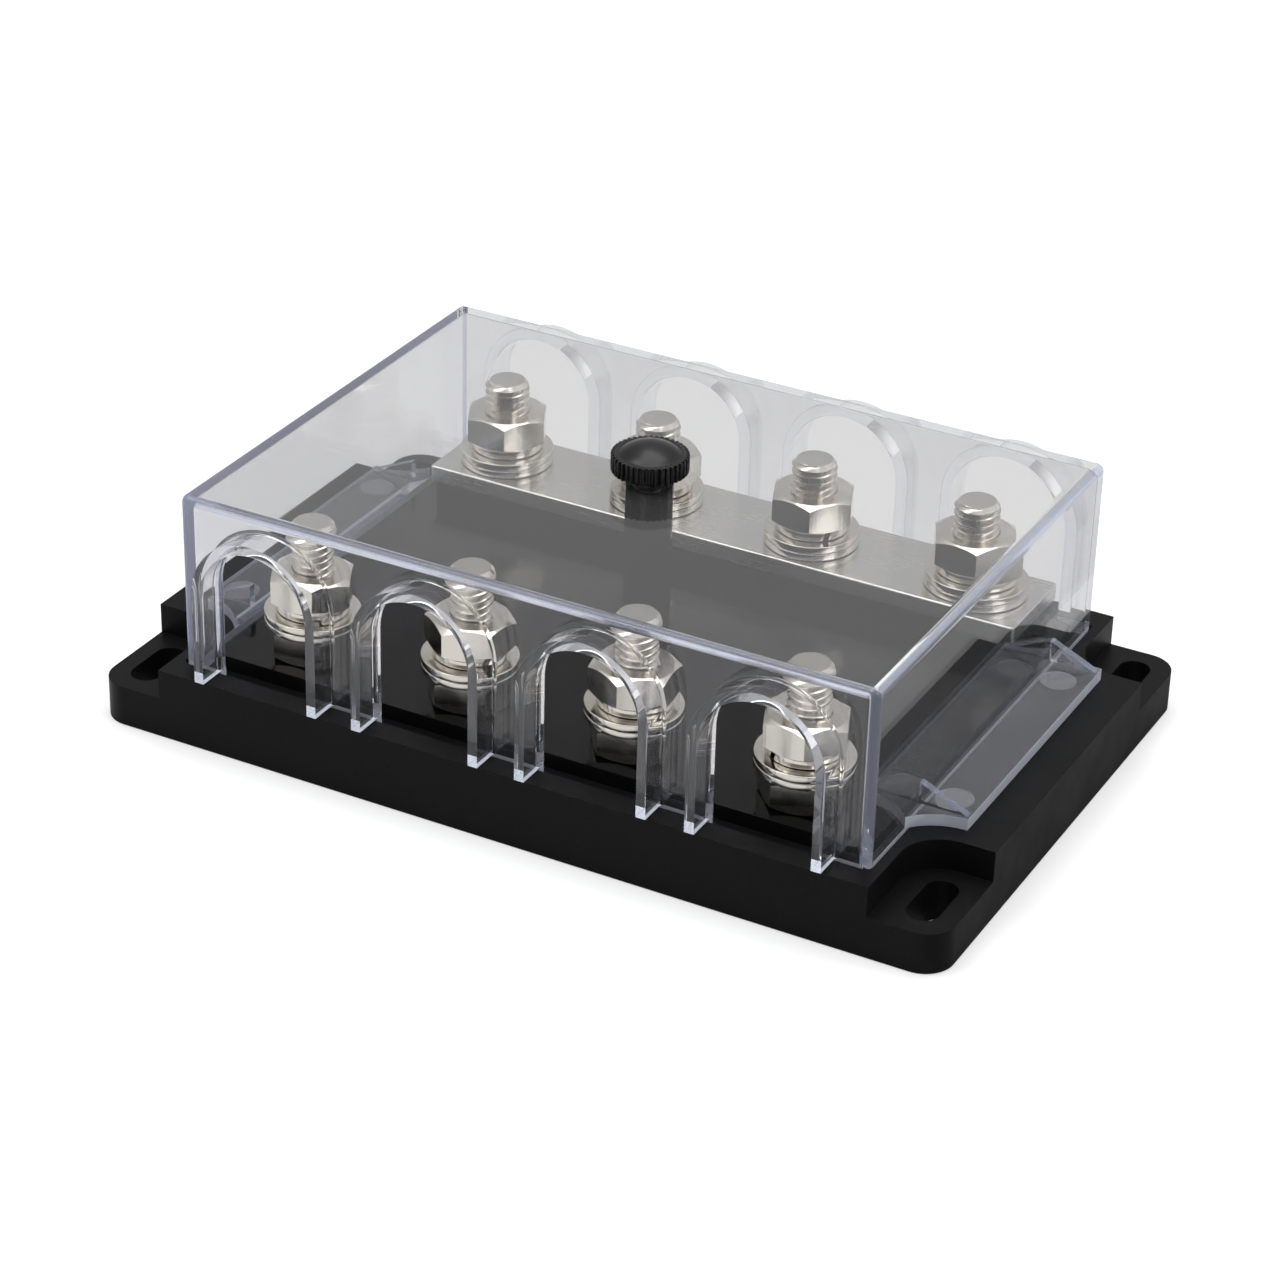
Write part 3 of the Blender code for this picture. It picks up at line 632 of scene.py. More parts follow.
# %% [markdown]
# A hexagonal nut is a prism whose corners were turned off by a cone. Every point on its rim is
# where the cone meets a flat, so the outline's height follows from its distance to the axis. That
# gives the curved bright lines under the top face that show on any nut.

# %% Hexagonal nuts and heads


def hex_reach(angle):
    """Distance from the axis to the hexagon's edge in a direction."""
    sector = (angle + math.pi / 6) % (math.pi / 3) - math.pi / 6
    return FLATS / 2 / math.cos(math.pi / 6 - abs(sector))


def hex_piece(name, height, bore, upper_face=0.955, lower_face=0.99, sides=96):
    """A nut, or a bolt head where the bore is nothing. Each face is a part of the width over the flats."""
    cone = math.tan(math.radians(30))
    lead = 0.5 * MM
    shape = bmesh.new()
    loops = []
    for way, end, part in ((1, height, upper_face), (-1, 0.0, lower_face)):
        face_radius = FLATS / 2 * part
        edge, circle = [], []
        for side in range(sides):
            angle = 2 * math.pi * side / sides
            reach = hex_reach(angle)
            drop = (reach - face_radius) * cone
            direction = Vector((math.cos(angle), math.sin(angle), 0))
            edge.append(shape.verts.new(direction * reach + Vector((0, 0, end - way * drop))))
            circle.append(shape.verts.new(direction * face_radius + Vector((0, 0, end))))
        loops += [circle, edge] if way > 0 else [edge, circle]
    if bore:
        levels = ((bore + lead, 0.0), (bore, lead), (bore, height - lead), (bore + lead, height))
        for radius, level in levels:
            loops.append([shape.verts.new((radius * math.cos(2 * math.pi * side / sides),
                                           radius * math.sin(2 * math.pi * side / sides), level))
                          for side in range(sides)])
        loops.append(loops[0])
    for first, second in zip(loops, loops[1:]):
        for side in range(sides):
            after = (side + 1) % sides
            shape.faces.new((first[side], second[side], second[after], first[after]))
    if not bore:
        shape.faces.new(loops[0])
        shape.faces.new(loops[-1])
    return object_from(shape, name)


NUT_BORE = 3.5 * MM
nut_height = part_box("nut_front_1")[1][2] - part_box("nut_front_1")[0][2]
nut = hex_piece("nut", nut_height, NUT_BORE)
shade(nut, 20)
head = hex_piece("head", HEAD_HEIGHT, 0.0)
shade(head, 20)
print("nut height in mm:", round(nut_height / MM, 2), "faces:", len(nut.data.polygons))

# %% Head and rod are one stud
join = bmesh.new()
join.from_mesh(stud.data)
join.from_mesh(head.data)
join.to_mesh(stud.data)
join.free()
bpy.data.objects.remove(head, do_unlink=True)
shade(stud, 30)
print("faces of a stud:", len(stud.data.polygons))

# %% [markdown]
# The flat washer was punched from sheet, which rounds its upper edge. The spring washer is one
# turn of square wire whose ends were cut at a slant and don't quite meet. A washer like that
# follows a path, so a node tree sweeps the wire's section along it.

# %% Flat washer
washer_low, washer_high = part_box("flat_washer_front_1_a")
washer_height = washer_high[2] - washer_low[2]
washer_radius = (washer_high[0] - washer_low[0]) / 2
WASHER_BORE = 4.3 * MM
WASHER_ROLL = 0.14 * MM


def turned_ring(name, inner, outer, height, roll, sides=96):
    """A ring with rounded outer edges, made by spinning its section."""
    section = [(inner, 0.0), (inner, height)]
    section += arc((outer - roll, height - roll), roll, math.pi / 2, 0, 4)
    section += arc((outer - roll / 2, roll / 2), roll / 2, 0, -math.pi / 2, 3)
    shape = bmesh.new()
    corners = [shape.verts.new((x, 0, z)) for x, z in section]
    edges = [shape.edges.new((corners[i - 1], corners[i])) for i in range(len(corners))]
    bmesh.ops.spin(shape, geom=corners + edges, axis=(0, 0, 1), cent=(0, 0, 0), angle=2 * math.pi, steps=sides,
                   use_merge=True)
    bmesh.ops.remove_doubles(shape, verts=shape.verts, dist=0.001 * MM)
    return object_from(shape, name)


flat_washer = turned_ring("flat_washer", WASHER_BORE, washer_radius, washer_height, WASHER_ROLL)
shade(flat_washer)
print("washer faces:", len(flat_washer.data.polygons))

# %% Spring washer
lock_low, lock_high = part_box("lock_washer_front_1")
lock_height = lock_high[2] - lock_low[2]
lock_radius = (lock_high[0] - lock_low[0]) / 2
coil, size = new_tree("spring_washer", Outer_radius=lock_radius, Inner_radius=WASHER_BORE,
                      Thickness=lock_height, Gap_angle=0.16)
wire = calc(coil, "SUBTRACT", size["Outer radius"], size["Inner radius"])
centre_radius = calc(coil, "ADD", size["Inner radius"], calc(coil, "MULTIPLY", wire, 0.5))
sweep = calc(coil, "SUBTRACT", 2 * math.pi, size["Gap angle"])
path = add(coil, "GeometryNodeCurveArc", {"Resolution": 97, "Radius": centre_radius,
                                          "Start Angle": calc(coil, "MULTIPLY", size["Gap angle"], 0.5),
                                          "Sweep Angle": sweep})
section = add(coil, "GeometryNodeCurvePrimitiveQuadrilateral", {"Width": wire, "Height": size["Thickness"]})
rounded = add(coil, "GeometryNodeFilletCurve", {"Curve": section, "Radius": 0.18 * MM, "Count": 3}, mode="POLY")
swept = add(coil, "GeometryNodeCurveToMesh", {"Curve": path, "Profile Curve": rounded, "Fill Caps": True})
lifted = add(coil, "GeometryNodeTransform", {"Geometry": swept, "Translation": (0, 0, lock_height / 2)})
finish_tree(coil, lifted, bright_nickel)
spring = grow("spring_washer", coil)
print("spring washer in mm:", [round(value / MM, 2) for value in spring.dimensions])

# %% Cut the ends at a slant
SLANT = 0.35
SLANTED_ANGLE = 0.5
for vertex in spring.data.vertices:
    angle = math.atan2(vertex.co.y, vertex.co.x)
    near_gap = max(0.0, 1 - abs(angle) / SLANTED_ANGLE)
    twist = SLANT * (vertex.co.z - lock_height / 2) / lock_radius * near_gap
    vertex.co = Matrix.Rotation(twist, 3, "Z") @ vertex.co
shade(spring)
print("spring washer faces:", len(spring.data.polygons))

# %% [markdown]
# ## Placing the terminals
# A second tree puts a copy of a piece on every point and turns it by that point's own angle, the
# way nuts stop at whatever angle they are tight. Before it does, it stores each point's place in
# the attribute that the nickel's rings are drawn on.

# %% Tree that places copies
placer, size = new_tree("place_on_points")
placer.interface.new_socket("Piece", in_out="INPUT", socket_type="NodeSocketObject")
group_input = placer.nodes["Group Input"].outputs
piece = add(placer, "GeometryNodeObjectInfo", {"Object": group_input["Piece"]}, output="Geometry")
marked = add(placer, "GeometryNodeStoreNamedAttribute",
             {"Geometry": piece, "Name": "own_place", "Value": add(placer, "GeometryNodeInputPosition")},
             data_type="FLOAT_VECTOR", domain="POINT")
angle = add(placer, "GeometryNodeInputNamedAttribute", {"Name": "turn"}, data_type="FLOAT")
turned = add(placer, "ShaderNodeCombineXYZ", {"Z": angle})
copies = add(placer, "GeometryNodeInstanceOnPoints",
             {"Points": group_input["Geometry"], "Instance": marked, "Rotation": turned})
finish_tree(placer, copies, bright_nickel)
print("placing nodes:", len(placer.nodes))

# %% Stations on the studs


def stations(name, nodes, turns):
    """A point at the foot of each node, with the angle that its copy is turned by."""
    mesh = bpy.data.meshes.new(name)
    feet = [(*middle(node).xy, span(node, 2)[0]) for node in nodes]
    mesh.from_pydata(feet, [], [])
    attribute = mesh.attributes.new("turn", "FLOAT", "POINT")
    attribute.data.foreach_set("value", turns)
    holder = bpy.data.objects.new(name, mesh)
    scene.collection.objects.link(holder)
    return holder


def place(name, piece, nodes, turns):
    """Puts a copy of a piece at each node, and lets the whole group stand for those nodes."""
    points = stations(name + "_points", nodes, turns)
    placed = grow(name, placer, start=points, Piece=piece)
    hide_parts(*nodes)
    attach(placed, "block")
    print(name, "copies:", len(nodes), "triangles:", sum(len(f.vertices) - 2 for f in placed.data.polygons))
    return placed


terminals = [f"{row}_{way}" for row in ROWS for way in range(1, WAYS + 1)]
chance = random.Random(4)
print("terminals:", terminals)

# %% Put every piece on its stud
STUD_TURN = 190
NUT_TURNS = {"front_1": -3, "front_2": 22, "front_3": -25, "front_4": -8,
             "rear_1": -4, "rear_2": 20, "rear_3": -8.5, "rear_4": -5}
SEAT_TURNS = {"front_1": 3, "front_2": 10, "front_3": 7, "front_4": 12}
GAP_TURNS = {"front_1": 150, "front_2": -40, "front_3": 95, "front_4": -120,
             "rear_1": 30, "rear_2": 100, "rear_3": -41, "rear_4": 160}
nut_nodes = ["nut_" + ending for ending in terminals] + ["seat_nut_" + ending for ending in SEAT_TURNS]
nut_turns = [math.radians(NUT_TURNS[ending]) for ending in terminals]
nut_turns += [math.radians(value) for value in SEAT_TURNS.values()]
place("terminal_nuts", nut, nut_nodes, nut_turns)
washer_nodes = [f"flat_washer_{ending}_{layer}" for ending in terminals for layer in "ab"]
place("flat_washers", flat_washer, washer_nodes, [chance.uniform(0, 6) for node in washer_nodes])
place("spring_washers", spring, ["lock_washer_" + ending for ending in terminals],
      [math.radians(GAP_TURNS[ending]) for ending in terminals])
for row in ROWS:
    nodes = [f"stud_{row}_{way}" for way in range(1, WAYS + 1)]
    place(row + "_threaded_studs", stud, nodes, [math.radians(STUD_TURN)] * WAYS)
for blank in (nut, flat_washer, spring, stud):
    bpy.data.objects.remove(blank, do_unlink=True)

# %% [markdown]
# ## The thumb screw
# The knob was moulded with straight knurling so that wet fingers can turn it. Its section is spun
# by a node tree, and where the section is at the knurled band the radius dips once for each tooth.

# %% Tree for a knurled knob
knob_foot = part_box("thumb_knob")[0][2]
COLLAR_HEIGHT = 1.2 * MM
BAND = 3.2 * MM
DOME = 4.9 * MM
DOME_RISE = 1.65 * MM
collar_foot = cover_high[2] + 0.3 * MM
band_foot = collar_foot + COLLAR_HEIGHT
band_top = band_foot + BAND
HEAD_RADIUS = 6.3 * MM
HEAD_EDGE = 0.35 * MM
COLLAR_RADIUS = 3.9 * MM
COLLAR_CHAMFER = 0.15 * MM
SPIGOT_RADIUS = 2.5 * MM
RIM_WIDTH = 0.75 * MM
knurl, size = new_tree("knurl", Teeth=40, Depth=0.42 * MM, Band_foot=band_foot, Band_top=band_top,
                       Inner_radius=HEAD_RADIUS - 0.8 * MM)
axes = knurl.nodes.new("ShaderNodeSeparateXYZ")
knurl.links.new(add(knurl, "GeometryNodeInputPosition"), axes.inputs[0])
around = calc(knurl, "ARCTAN2", axes.outputs["Y"], axes.outputs["X"])
wave = calc(knurl, "COSINE", calc(knurl, "MULTIPLY", around, size["Teeth"]))
valley = add(knurl, "ShaderNodeMapRange", {"Value": wave, "From Min": -0.35, "From Max": 0.75,
                                           "To Min": 1.0, "To Max": 0.0}, interpolation_type="SMOOTHSTEP")
flat = add(knurl, "ShaderNodeCombineXYZ", {"X": axes.outputs["X"], "Y": axes.outputs["Y"]})
reach = add(knurl, "ShaderNodeVectorMath", {0: flat}, output="Value", operation="LENGTH")
outside = calc(knurl, "GREATER_THAN", reach, size["Inner radius"])
dip = calc(knurl, "MULTIPLY", calc(knurl, "MULTIPLY", valley, size["Depth"]), outside)
shrink = calc(knurl, "DIVIDE", dip, reach)
inward = add(knurl, "ShaderNodeCombineXYZ", {"X": calc(knurl, "MULTIPLY", axes.outputs["X"], shrink),
                                             "Y": calc(knurl, "MULTIPLY", axes.outputs["Y"], shrink)})
offset = add(knurl, "ShaderNodeVectorMath", {0: inward, 1: (-1, -1, -1)}, operation="MULTIPLY")
pressed = add(knurl, "GeometryNodeSetPosition", {"Geometry": knurl.nodes["Group Input"].outputs["Geometry"],
                                                 "Offset": offset})
finish_tree(knurl, pressed, knob_black)
print("knurl nodes:", len(knurl.nodes))

# %% Spin the knob's section and knurl it
sphere = (DOME ** 2 + DOME_RISE ** 2) / (2 * DOME_RISE)
spread = math.asin(DOME / sphere)
crown_z = band_top + DOME_RISE
dome_points = arc((0, crown_z - sphere), sphere, math.pi / 2, math.pi / 2 - spread, 14)
dish = 0.12 * MM
section = [(0.0, crown_z)] + dome_points[1:]
section += [(DOME + 0.15 * MM, band_top - dish), (HEAD_RADIUS - RIM_WIDTH, band_top - dish)]
section += arc((HEAD_RADIUS - HEAD_EDGE, band_top - HEAD_EDGE), HEAD_EDGE, math.pi / 2, 0, 5)
section += arc((HEAD_RADIUS - HEAD_EDGE, band_foot + HEAD_EDGE), HEAD_EDGE, 0, -math.pi / 2, 5)
section += [(COLLAR_RADIUS, band_foot), (COLLAR_RADIUS, collar_foot + COLLAR_CHAMFER)]
section += [(COLLAR_RADIUS - COLLAR_CHAMFER, collar_foot), (SPIGOT_RADIUS, collar_foot)]
section += [(SPIGOT_RADIUS, knob_foot), (0.0, knob_foot)]
shape = bmesh.new()
corners = [shape.verts.new((x, 0, z)) for x, z in section]
edges = [shape.edges.new(pair) for pair in zip(corners, corners[1:])]
bmesh.ops.spin(shape, geom=corners + edges, axis=(0, 0, 1), cent=(0, 0, 0), angle=2 * math.pi, steps=480,
               use_merge=True)
bmesh.ops.remove_doubles(shape, verts=shape.verts, dist=0.001 * MM)
knob = grow("knurled_knob", knurl, start=object_from(shape, "knob_blank"))
shade(knob, 40)
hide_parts("thumb_knob")
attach(knob, "thumb_fastener")
print("knob faces:", len(knob.data.polygons))

# %% [markdown]
# The screw below the knob and the brass thread in the post are nearly hidden. The screw reuses the
# thread tree at its own size, and the brass keeps its solid.

# %% The fixing screw and its insert
screw_low, screw_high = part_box("thumb_screw")
screw_length = screw_high[2] - screw_low[2]
screw = grow("fixing_screw", thread, Diameter=3.8 * MM, Pitch=0.7 * MM, Depth=0.38 * MM, Length=screw_length,
             Chamfer=0.5 * MM, Sides=32)
screw.data.transform(Matrix.Rotation(math.pi, 4, "X"))
screw.data.transform(Matrix.Translation((0, 0, screw_high[2])))
shade(screw, 50)
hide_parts("thumb_screw")
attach(screw, "thumb_fastener")
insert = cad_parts["post_insert"]
insert.data.materials.clear()
insert.data.materials.append(brass)
print("screw length in mm:", round(screw_length / MM, 2))

# %% [markdown]
# ## The clear cover
# The cover is the block's main piece and the hardest to mould: a thin box with eight tunnels that
# each end in a lip. The box is a block with rounded edges that is hollowed by a smaller one. One
# arch is lofted through sections along Y. Its outline swells towards the wall, which makes the
# fillet at the root of the lip and the round at the mouth of the tunnel. A node tree then copies
# the arch along the row, and the row is joined to the box or cut from it.

# %% Sizes of the cover
HAIR = 0.01 * MM
WALL = 1.9 * MM
COVER_EDGE = 1.4 * MM
INNER_EDGE = 0.5 * MM
ARCH_WIDTH = 19.4 * MM
ARCH_TO_TOP = 4.2 * MM
LIP_WALL = 1.65 * MM
LIP_FILLET = 0.6 * MM
MOUTH_ROUND = 0.9 * MM
FLANGE = 2.0 * MM
FLANGE_REACH = 8.4 * MM
SEAT_GAP = 0.3 * MM
crown = cover_high[2] - ARCH_TO_TOP
foot = RIM + SEAT_GAP
cover_x = cover_high[0] - FLANGE_REACH
cover_y = GROOVE[1] - SEAT_GAP
lip_end = cover_high[1]
print("cover half sizes in mm:", round(cover_x / MM, 2), round(cover_y / MM, 2))

# %% Tree for a row of arches
along_row, size = new_tree("along_the_row", Ways=WAYS, Pitch=pitch)
reach = calc(along_row, "MULTIPLY", calc(along_row, "SUBTRACT", size["Ways"], 1.0), size["Pitch"])
first = add(along_row, "ShaderNodeCombineXYZ", {"X": calc(along_row, "MULTIPLY", reach, -0.5)})
step = add(along_row, "ShaderNodeCombineXYZ", {"X": size["Pitch"]})
line = add(along_row, "GeometryNodeMeshLine", {"Count": size["Ways"], "Start Location": first, "Offset": step})
copies = add(along_row, "GeometryNodeInstanceOnPoints",
             {"Points": line, "Instance": along_row.nodes["Group Input"].outputs["Geometry"]})
finish_tree(along_row, copies, clear_plastic)
print("row nodes:", len(along_row.nodes))

# %% Loft one arch and grow the row


def swell(radius, steps=6):
    """Steps of a quarter round: how far along, and how far the outline is pushed out there."""
    turns = [math.pi / 2 * step / steps for step in range(steps + 1)]
    return [(radius * (1 - math.cos(turn)), radius * (1 - math.sin(turn))) for turn in turns]


def arch_row(name, width, crown, foot, sections, side, steps=40):
    """A row of arches. Each section is a place along Y and how far the outline is pushed out there."""
    shape = bmesh.new()
    rings = []
    for y, push in sections:
        radius = width / 2 + push
        outline = [(radius, foot)] + arc((0, crown - width / 2), radius, 0, math.pi, steps) + [(-radius, foot)]
        rings.append([shape.verts.new((x, side * y, z)) for x, z in outline])
    for here, beyond in zip(rings, rings[1:]):
        for corner in range(len(here)):
            after = (corner + 1) % len(here)
            shape.faces.new((here[corner], here[after], beyond[after], beyond[corner]))
    shape.faces.new(rings[0])
    shape.faces.new(rings[-1])
    return grow(name, along_row, start=object_from(shape, name + "_blank"))


print("steps of a quarter round in mm:", [round(along / MM, 2) for along, push in swell(LIP_FILLET)])

# %% The shell


def rounded_block(name, half_x, half_y, low, high, radius, segments):
    """A block whose upper and upright edges are rounded and whose underside isn't."""
    shape = bmesh.new()
    bmesh.ops.create_cube(shape, size=1.0)
    bmesh.ops.scale(shape, vec=(2 * half_x, 2 * half_y, high - low), verts=shape.verts)
    bmesh.ops.translate(shape, vec=(0, 0, (low + high) / 2), verts=shape.verts)
    upper = [edge for edge in shape.edges if max(vert.co.z for vert in edge.verts) > low + radius]
    bmesh.ops.bevel(shape, geom=upper, offset=radius, segments=segments, profile=0.5, affect="EDGES")
    return object_from(shape, name)


cover = rounded_block("clear_cover", cover_x, cover_y, cover_low[2], cover_high[2], COVER_EDGE, 6)
room = rounded_block("room", cover_x - WALL, cover_y - WALL, 0.0, cover_high[2] - WALL, INNER_EDGE, 3)
boolean(cover, "DIFFERENCE", room)
print("shell faces:", len(cover.data.polygons))

# %% Join the lips and cut the tunnels
inner_wall = cover_y - WALL
root = [(cover_y - WALL / 2, LIP_FILLET)]
root += [(cover_y - HAIR + along, push) for along, push in swell(LIP_FILLET)]
mouth = [(inner_wall - WALL, MOUTH_ROUND)]
mouth += [(inner_wall - HAIR + along, push) for along, push in swell(MOUTH_ROUND)]
outer_width = ARCH_WIDTH + 2 * LIP_WALL
for side in (-1, 1):
    lips = arch_row("lips", outer_width, crown + LIP_WALL, foot, root + [(lip_end, 0.0)], side)
    boolean(cover, "UNION", lips)
for side in (-1, 1):
    tunnels = arch_row("tunnels", ARCH_WIDTH, crown, GROOVE_FLOOR - 1.0 * MM, mouth + [(2 * lip_end, 0.0)], side)
    boolean(cover, "DIFFERENCE", tunnels)
print("faces with arches:", len(cover.data.polygons))

# %% [markdown]
# Each short side has a flange that rests on the base's rim, and two ribs that stiffen it. The
# flange's ends are hollow, because they follow the pockets over the ears. Small round marks on the
# flange are where pins pushed the cover out of its mould.

# %% Flanges and ribs
ear_y = inner_y
flange_half = ear_y - 3.0 * MM
flange_end = ear_y + 1.2 * MM
flange_edge = cover_high[0]
flange_root = cover_x - WALL / 2
corner_out = Vector((flange_edge, flange_half))
corner_in = Vector((cover_x, flange_end))
chord = corner_in - corner_out
hollow = 1.1 * MM
bow_radius = (chord.length ** 2 / 4 + hollow ** 2) / (2 * hollow)
outward = Vector((-chord.y, chord.x)).normalized()
if outward.y > 0:
    outward = -outward
bow_centre = (corner_in + corner_out) / 2 - outward * (bow_radius - hollow)
swing = 2 * math.asin(chord.length / 2 / bow_radius)
start_angle = math.atan2(*(corner_out - bow_centre).yx)
end_angle = math.atan2(*(corner_in - bow_centre).yx)
turn = (end_angle - start_angle + math.pi) % (2 * math.pi) - math.pi
rear_end = arc(bow_centre, bow_radius, start_angle, start_angle + turn, 16)
outline = rear_end + [(flange_root, flange_end), (flange_root, -flange_end)]
outline += [(x, -y) for x, y in reversed(rear_end)]
both = [outline, [(-x, y) for x, y in outline]]
boolean(cover, "UNION", prism("flanges", both, foot, foot + FLANGE))
print("hollow of the flange's end in degrees:", round(math.degrees(swing), 1))

# %% Ribs and the hole for the thumb screw
RIB = 1.4 * MM
RIB_HEIGHT = 3.6 * MM
SCREW_HOLE = 5.6 * MM
rib_y = flange_half - 1.2 * MM
rib_edge = flange_edge - 0.4 * MM
flange_top = foot + FLANGE
rib = [(flange_root, foot + FLANGE / 2), (rib_edge, foot + FLANGE / 2), (rib_edge, flange_top),
       (cover_x, flange_top + RIB_HEIGHT), (flange_root, flange_top + RIB_HEIGHT)]
both = [rib, [(-x, z) for x, z in rib]]
for side in (-1, 1):
    low = side * rib_y - RIB / 2
    boolean(cover, "UNION", prism("ribs", both, low, low + RIB, upright=True))
boolean(cover, "DIFFERENCE", prism("screw_hole", [ring((0, 0), SCREW_HOLE)], crown, 2 * cover_high[2]))
print("faces with flanges and ribs:", len(cover.data.polygons))

# %% Marks of the ejector pins
PIN = 5.8 * MM
PIN_PRESS = 0.10 * MM
FOOT_LINE = 0.1 * MM
pins = [(64.4 * MM, 19.3 * MM), (64.9 * MM, -21.9 * MM)]
marks = [ring((side * x, y), PIN, 40) for side in (-1, 1) for x, y in pins]
boolean(cover, "DIFFERENCE", prism("pin_marks", marks, flange_top - PIN_PRESS, 2 * flange_top))
tidy_flats(cover)

# A line just above the rim parts the rough foot of each wall from its clear face
shape = bmesh.new()
shape.from_mesh(cover.data)
everything = shape.verts[:] + shape.edges[:] + shape.faces[:]
bmesh.ops.bisect_plane(shape, geom=everything, plane_co=(0, 0, foot + FOOT_LINE), plane_no=(0, 0, 1))
shape.to_mesh(cover.data)
shape.free()
soften(cover, 0.15 * MM, 2, 50)
print("faces of the finished cover:", len(cover.data.polygons))

# %% [markdown]
# The cover gets several finishes, and a face is told by where it lies. The top, the rear walls, the
# rear lips and the right wall are tinted a little darker than the rest, which is painted shade. The
# rounded outer edges and the feet are rougher, the rounded edges carry a darker blue tint, and the
# pins' marks are a little dull. Of the rear lips, only the right shoulders still bend light, because
# on the real cover these draw the short grey arcs that show through the top. The wall of the
# screw's hole is painted black, which stands in for the black spigot seen through it and for the
# screw's shade.

# %% Clear, hazy and frosted faces


def on_outer_wall(face):
    """Whether a face is a part of an upright outer wall."""
    return abs(abs(face.center.x) - cover_x) < HAIR or abs(abs(face.center.y) - cover_y) < HAIR


def on_right_shoulder(face):
    """Whether a face of a rear lip lies on the inner side of its arch, at the right shoulder."""
    across = min(abs(face.center.x - spot) for spot in stud_x)
    from_axis = math.hypot(across, max(0.0, face.center.z - (crown - ARCH_WIDTH / 2)))
    return from_axis < (ARCH_WIDTH + LIP_WALL) / 2 and -0.9 < face.normal.x < -0.4


def wall_finish(face):
    """The finish of a face on an upright outer wall."""
    x, y, z = face.center
    if z < foot + FOOT_LINE:
        return frosted_plastic
    if y > cover_y - HAIR:
        return rear_plastic_shaded
    if x < HAIR - cover_x:
        return left_plastic
    return right_plastic_shaded if x > cover_x - HAIR else clear_plastic


def flange_finish(face):
    """The finish of a face on a flange or a rib."""
    z = face.center.z
    if face.normal.z > 0.99 and z < flange_top + HAIR:
        return marked_plastic if z < flange_top - PIN_PRESS / 2 else hazy_plastic
    if z < flange_top and face.normal.z > -0.5:
        return frosted_plastic
    return rounded_plastic if face.normal.z > 0.2 else clear_plastic


print("rules for walls, shoulders and flanges are ready")

# %% Give each face its finish


def finish_of(face):
    """Which of the cover's finishes a face has."""
    x, y, z = face.center
    side, depth = abs(x), abs(y)
    near_edges = (side > cover_x - COVER_EDGE) + (depth > cover_y - COVER_EDGE) + (z > cover_high[2] - COVER_EDGE)
    # The hole's wall is painted black: partly the black spigot seen through it, partly painted shade of the screw
    if side < SCREW_HOLE and depth < SCREW_HOLE and z > crown and abs(face.normal.z) < 0.5:
        return knob_black
    if z > cover_high[2] - WALL - HAIR and abs(face.normal.z) > 0.99:
        return top_plastic_shaded
    if on_outer_wall(face):
        return wall_finish(face)
    if y > cover_y + HAIR and side < cover_x:
        return clear_plastic if on_right_shoulder(face) else rear_lip_plastic_shaded
    if x < COVER_EDGE - cover_x and face.normal.z > 0.5 and depth < cover_y - COVER_EDGE and z > crown:
        return top_plastic_shaded
    if near_edges > 1 and side < cover_x and depth < cover_y and z > flange_top:
        return rounded_plastic
    if y < -cover_y - LIP_FILLET and z < foot + FOOT_LINE + HAIR:
        return frosted_plastic
    if y < 0.2 * MM - lip_end:
        return hazy_plastic if face.normal.y < -0.99 else frosted_plastic
    if side > cover_x + HAIR and z < flange_top + RIB_HEIGHT:
        return flange_finish(face)
    return clear_plastic


finishes = [clear_plastic, top_plastic_shaded, rear_plastic_shaded, rear_lip_plastic_shaded, left_plastic, right_plastic_shaded, hazy_plastic,
            marked_plastic, rounded_plastic, frosted_plastic, knob_black]
cover.data.materials.clear()
for finish in finishes:
    cover.data.materials.append(finish)
for face in cover.data.polygons:
    face.material_index = finishes.index(finish_of(face))
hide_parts("cover")
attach(cover, "lid")
for index, finish in enumerate(finishes):
    print(finish.name, "faces:", sum(face.material_index == index for face in cover.data.polygons))

# %% [markdown]
# ## Floor, light and camera
# The block stands on a white table in a white room. The floor is lit like everything else, so it
# keeps the block's soft shadow. Camera rays see a little extra white, and so does whatever is seen
# through the cover. In reflections only, the floor to the right is grey, a painted reflection that
# works like the dark card a photographer stands beside clear plastic, so that the right wall
# doesn't turn milky.

# %% Floor
TABLE_WHITE = (0.68, 0.68, 0.68)
GREY_IN_REFLECTIONS = (0.36, 0.36, 0.36)
CAMERA_GLOW = 0.36
floor_shape = bmesh.new()
bmesh.ops.create_grid(floor_shape, x_segments=1, y_segments=1, size=4.0)
floor = object_from(floor_shape, "table")
floor.data.transform(Matrix.Translation((0, 0, base_low[2] - 0.1 * MM)))
table, tree, shader = new_material("white_table")
shader.inputs["Roughness"].default_value = 0.9
path = tree.nodes.new("ShaderNodeLightPath")
spot = tree.nodes.new("ShaderNodeSeparateXYZ")
tree.links.new(add(tree, "ShaderNodeTexCoord", output="Object"), spot.inputs[0])
# Painted reflection: right of the block the floor is grey in reflections only
beside = calc(tree, "GREATER_THAN", spot.outputs["X"], half_x)
reflected_grey_mask = calc(tree, "MULTIPLY", beside, path.outputs["Is Glossy Ray"])
tree.links.new(two_tone(tree, reflected_grey_mask, TABLE_WHITE, GREY_IN_REFLECTIONS), shader.inputs["Base Color"])
shader.inputs["Emission Color"].default_value = (1, 1, 1, 1)
glow = calc(tree, "MULTIPLY", path.outputs["Is Camera Ray"], CAMERA_GLOW)
tree.links.new(glow, shader.inputs["Emission Strength"])
floor.data.materials.append(table)
print("floor size in m:", round(floor.dimensions.x, 1))

# %% [markdown]
# The room is white where it is looked at. As a lamp it is brighter overhead and behind the block,
# and in reflections also at the far left and right of the camera, which gives the nuts bright
# flats beside dark ones.

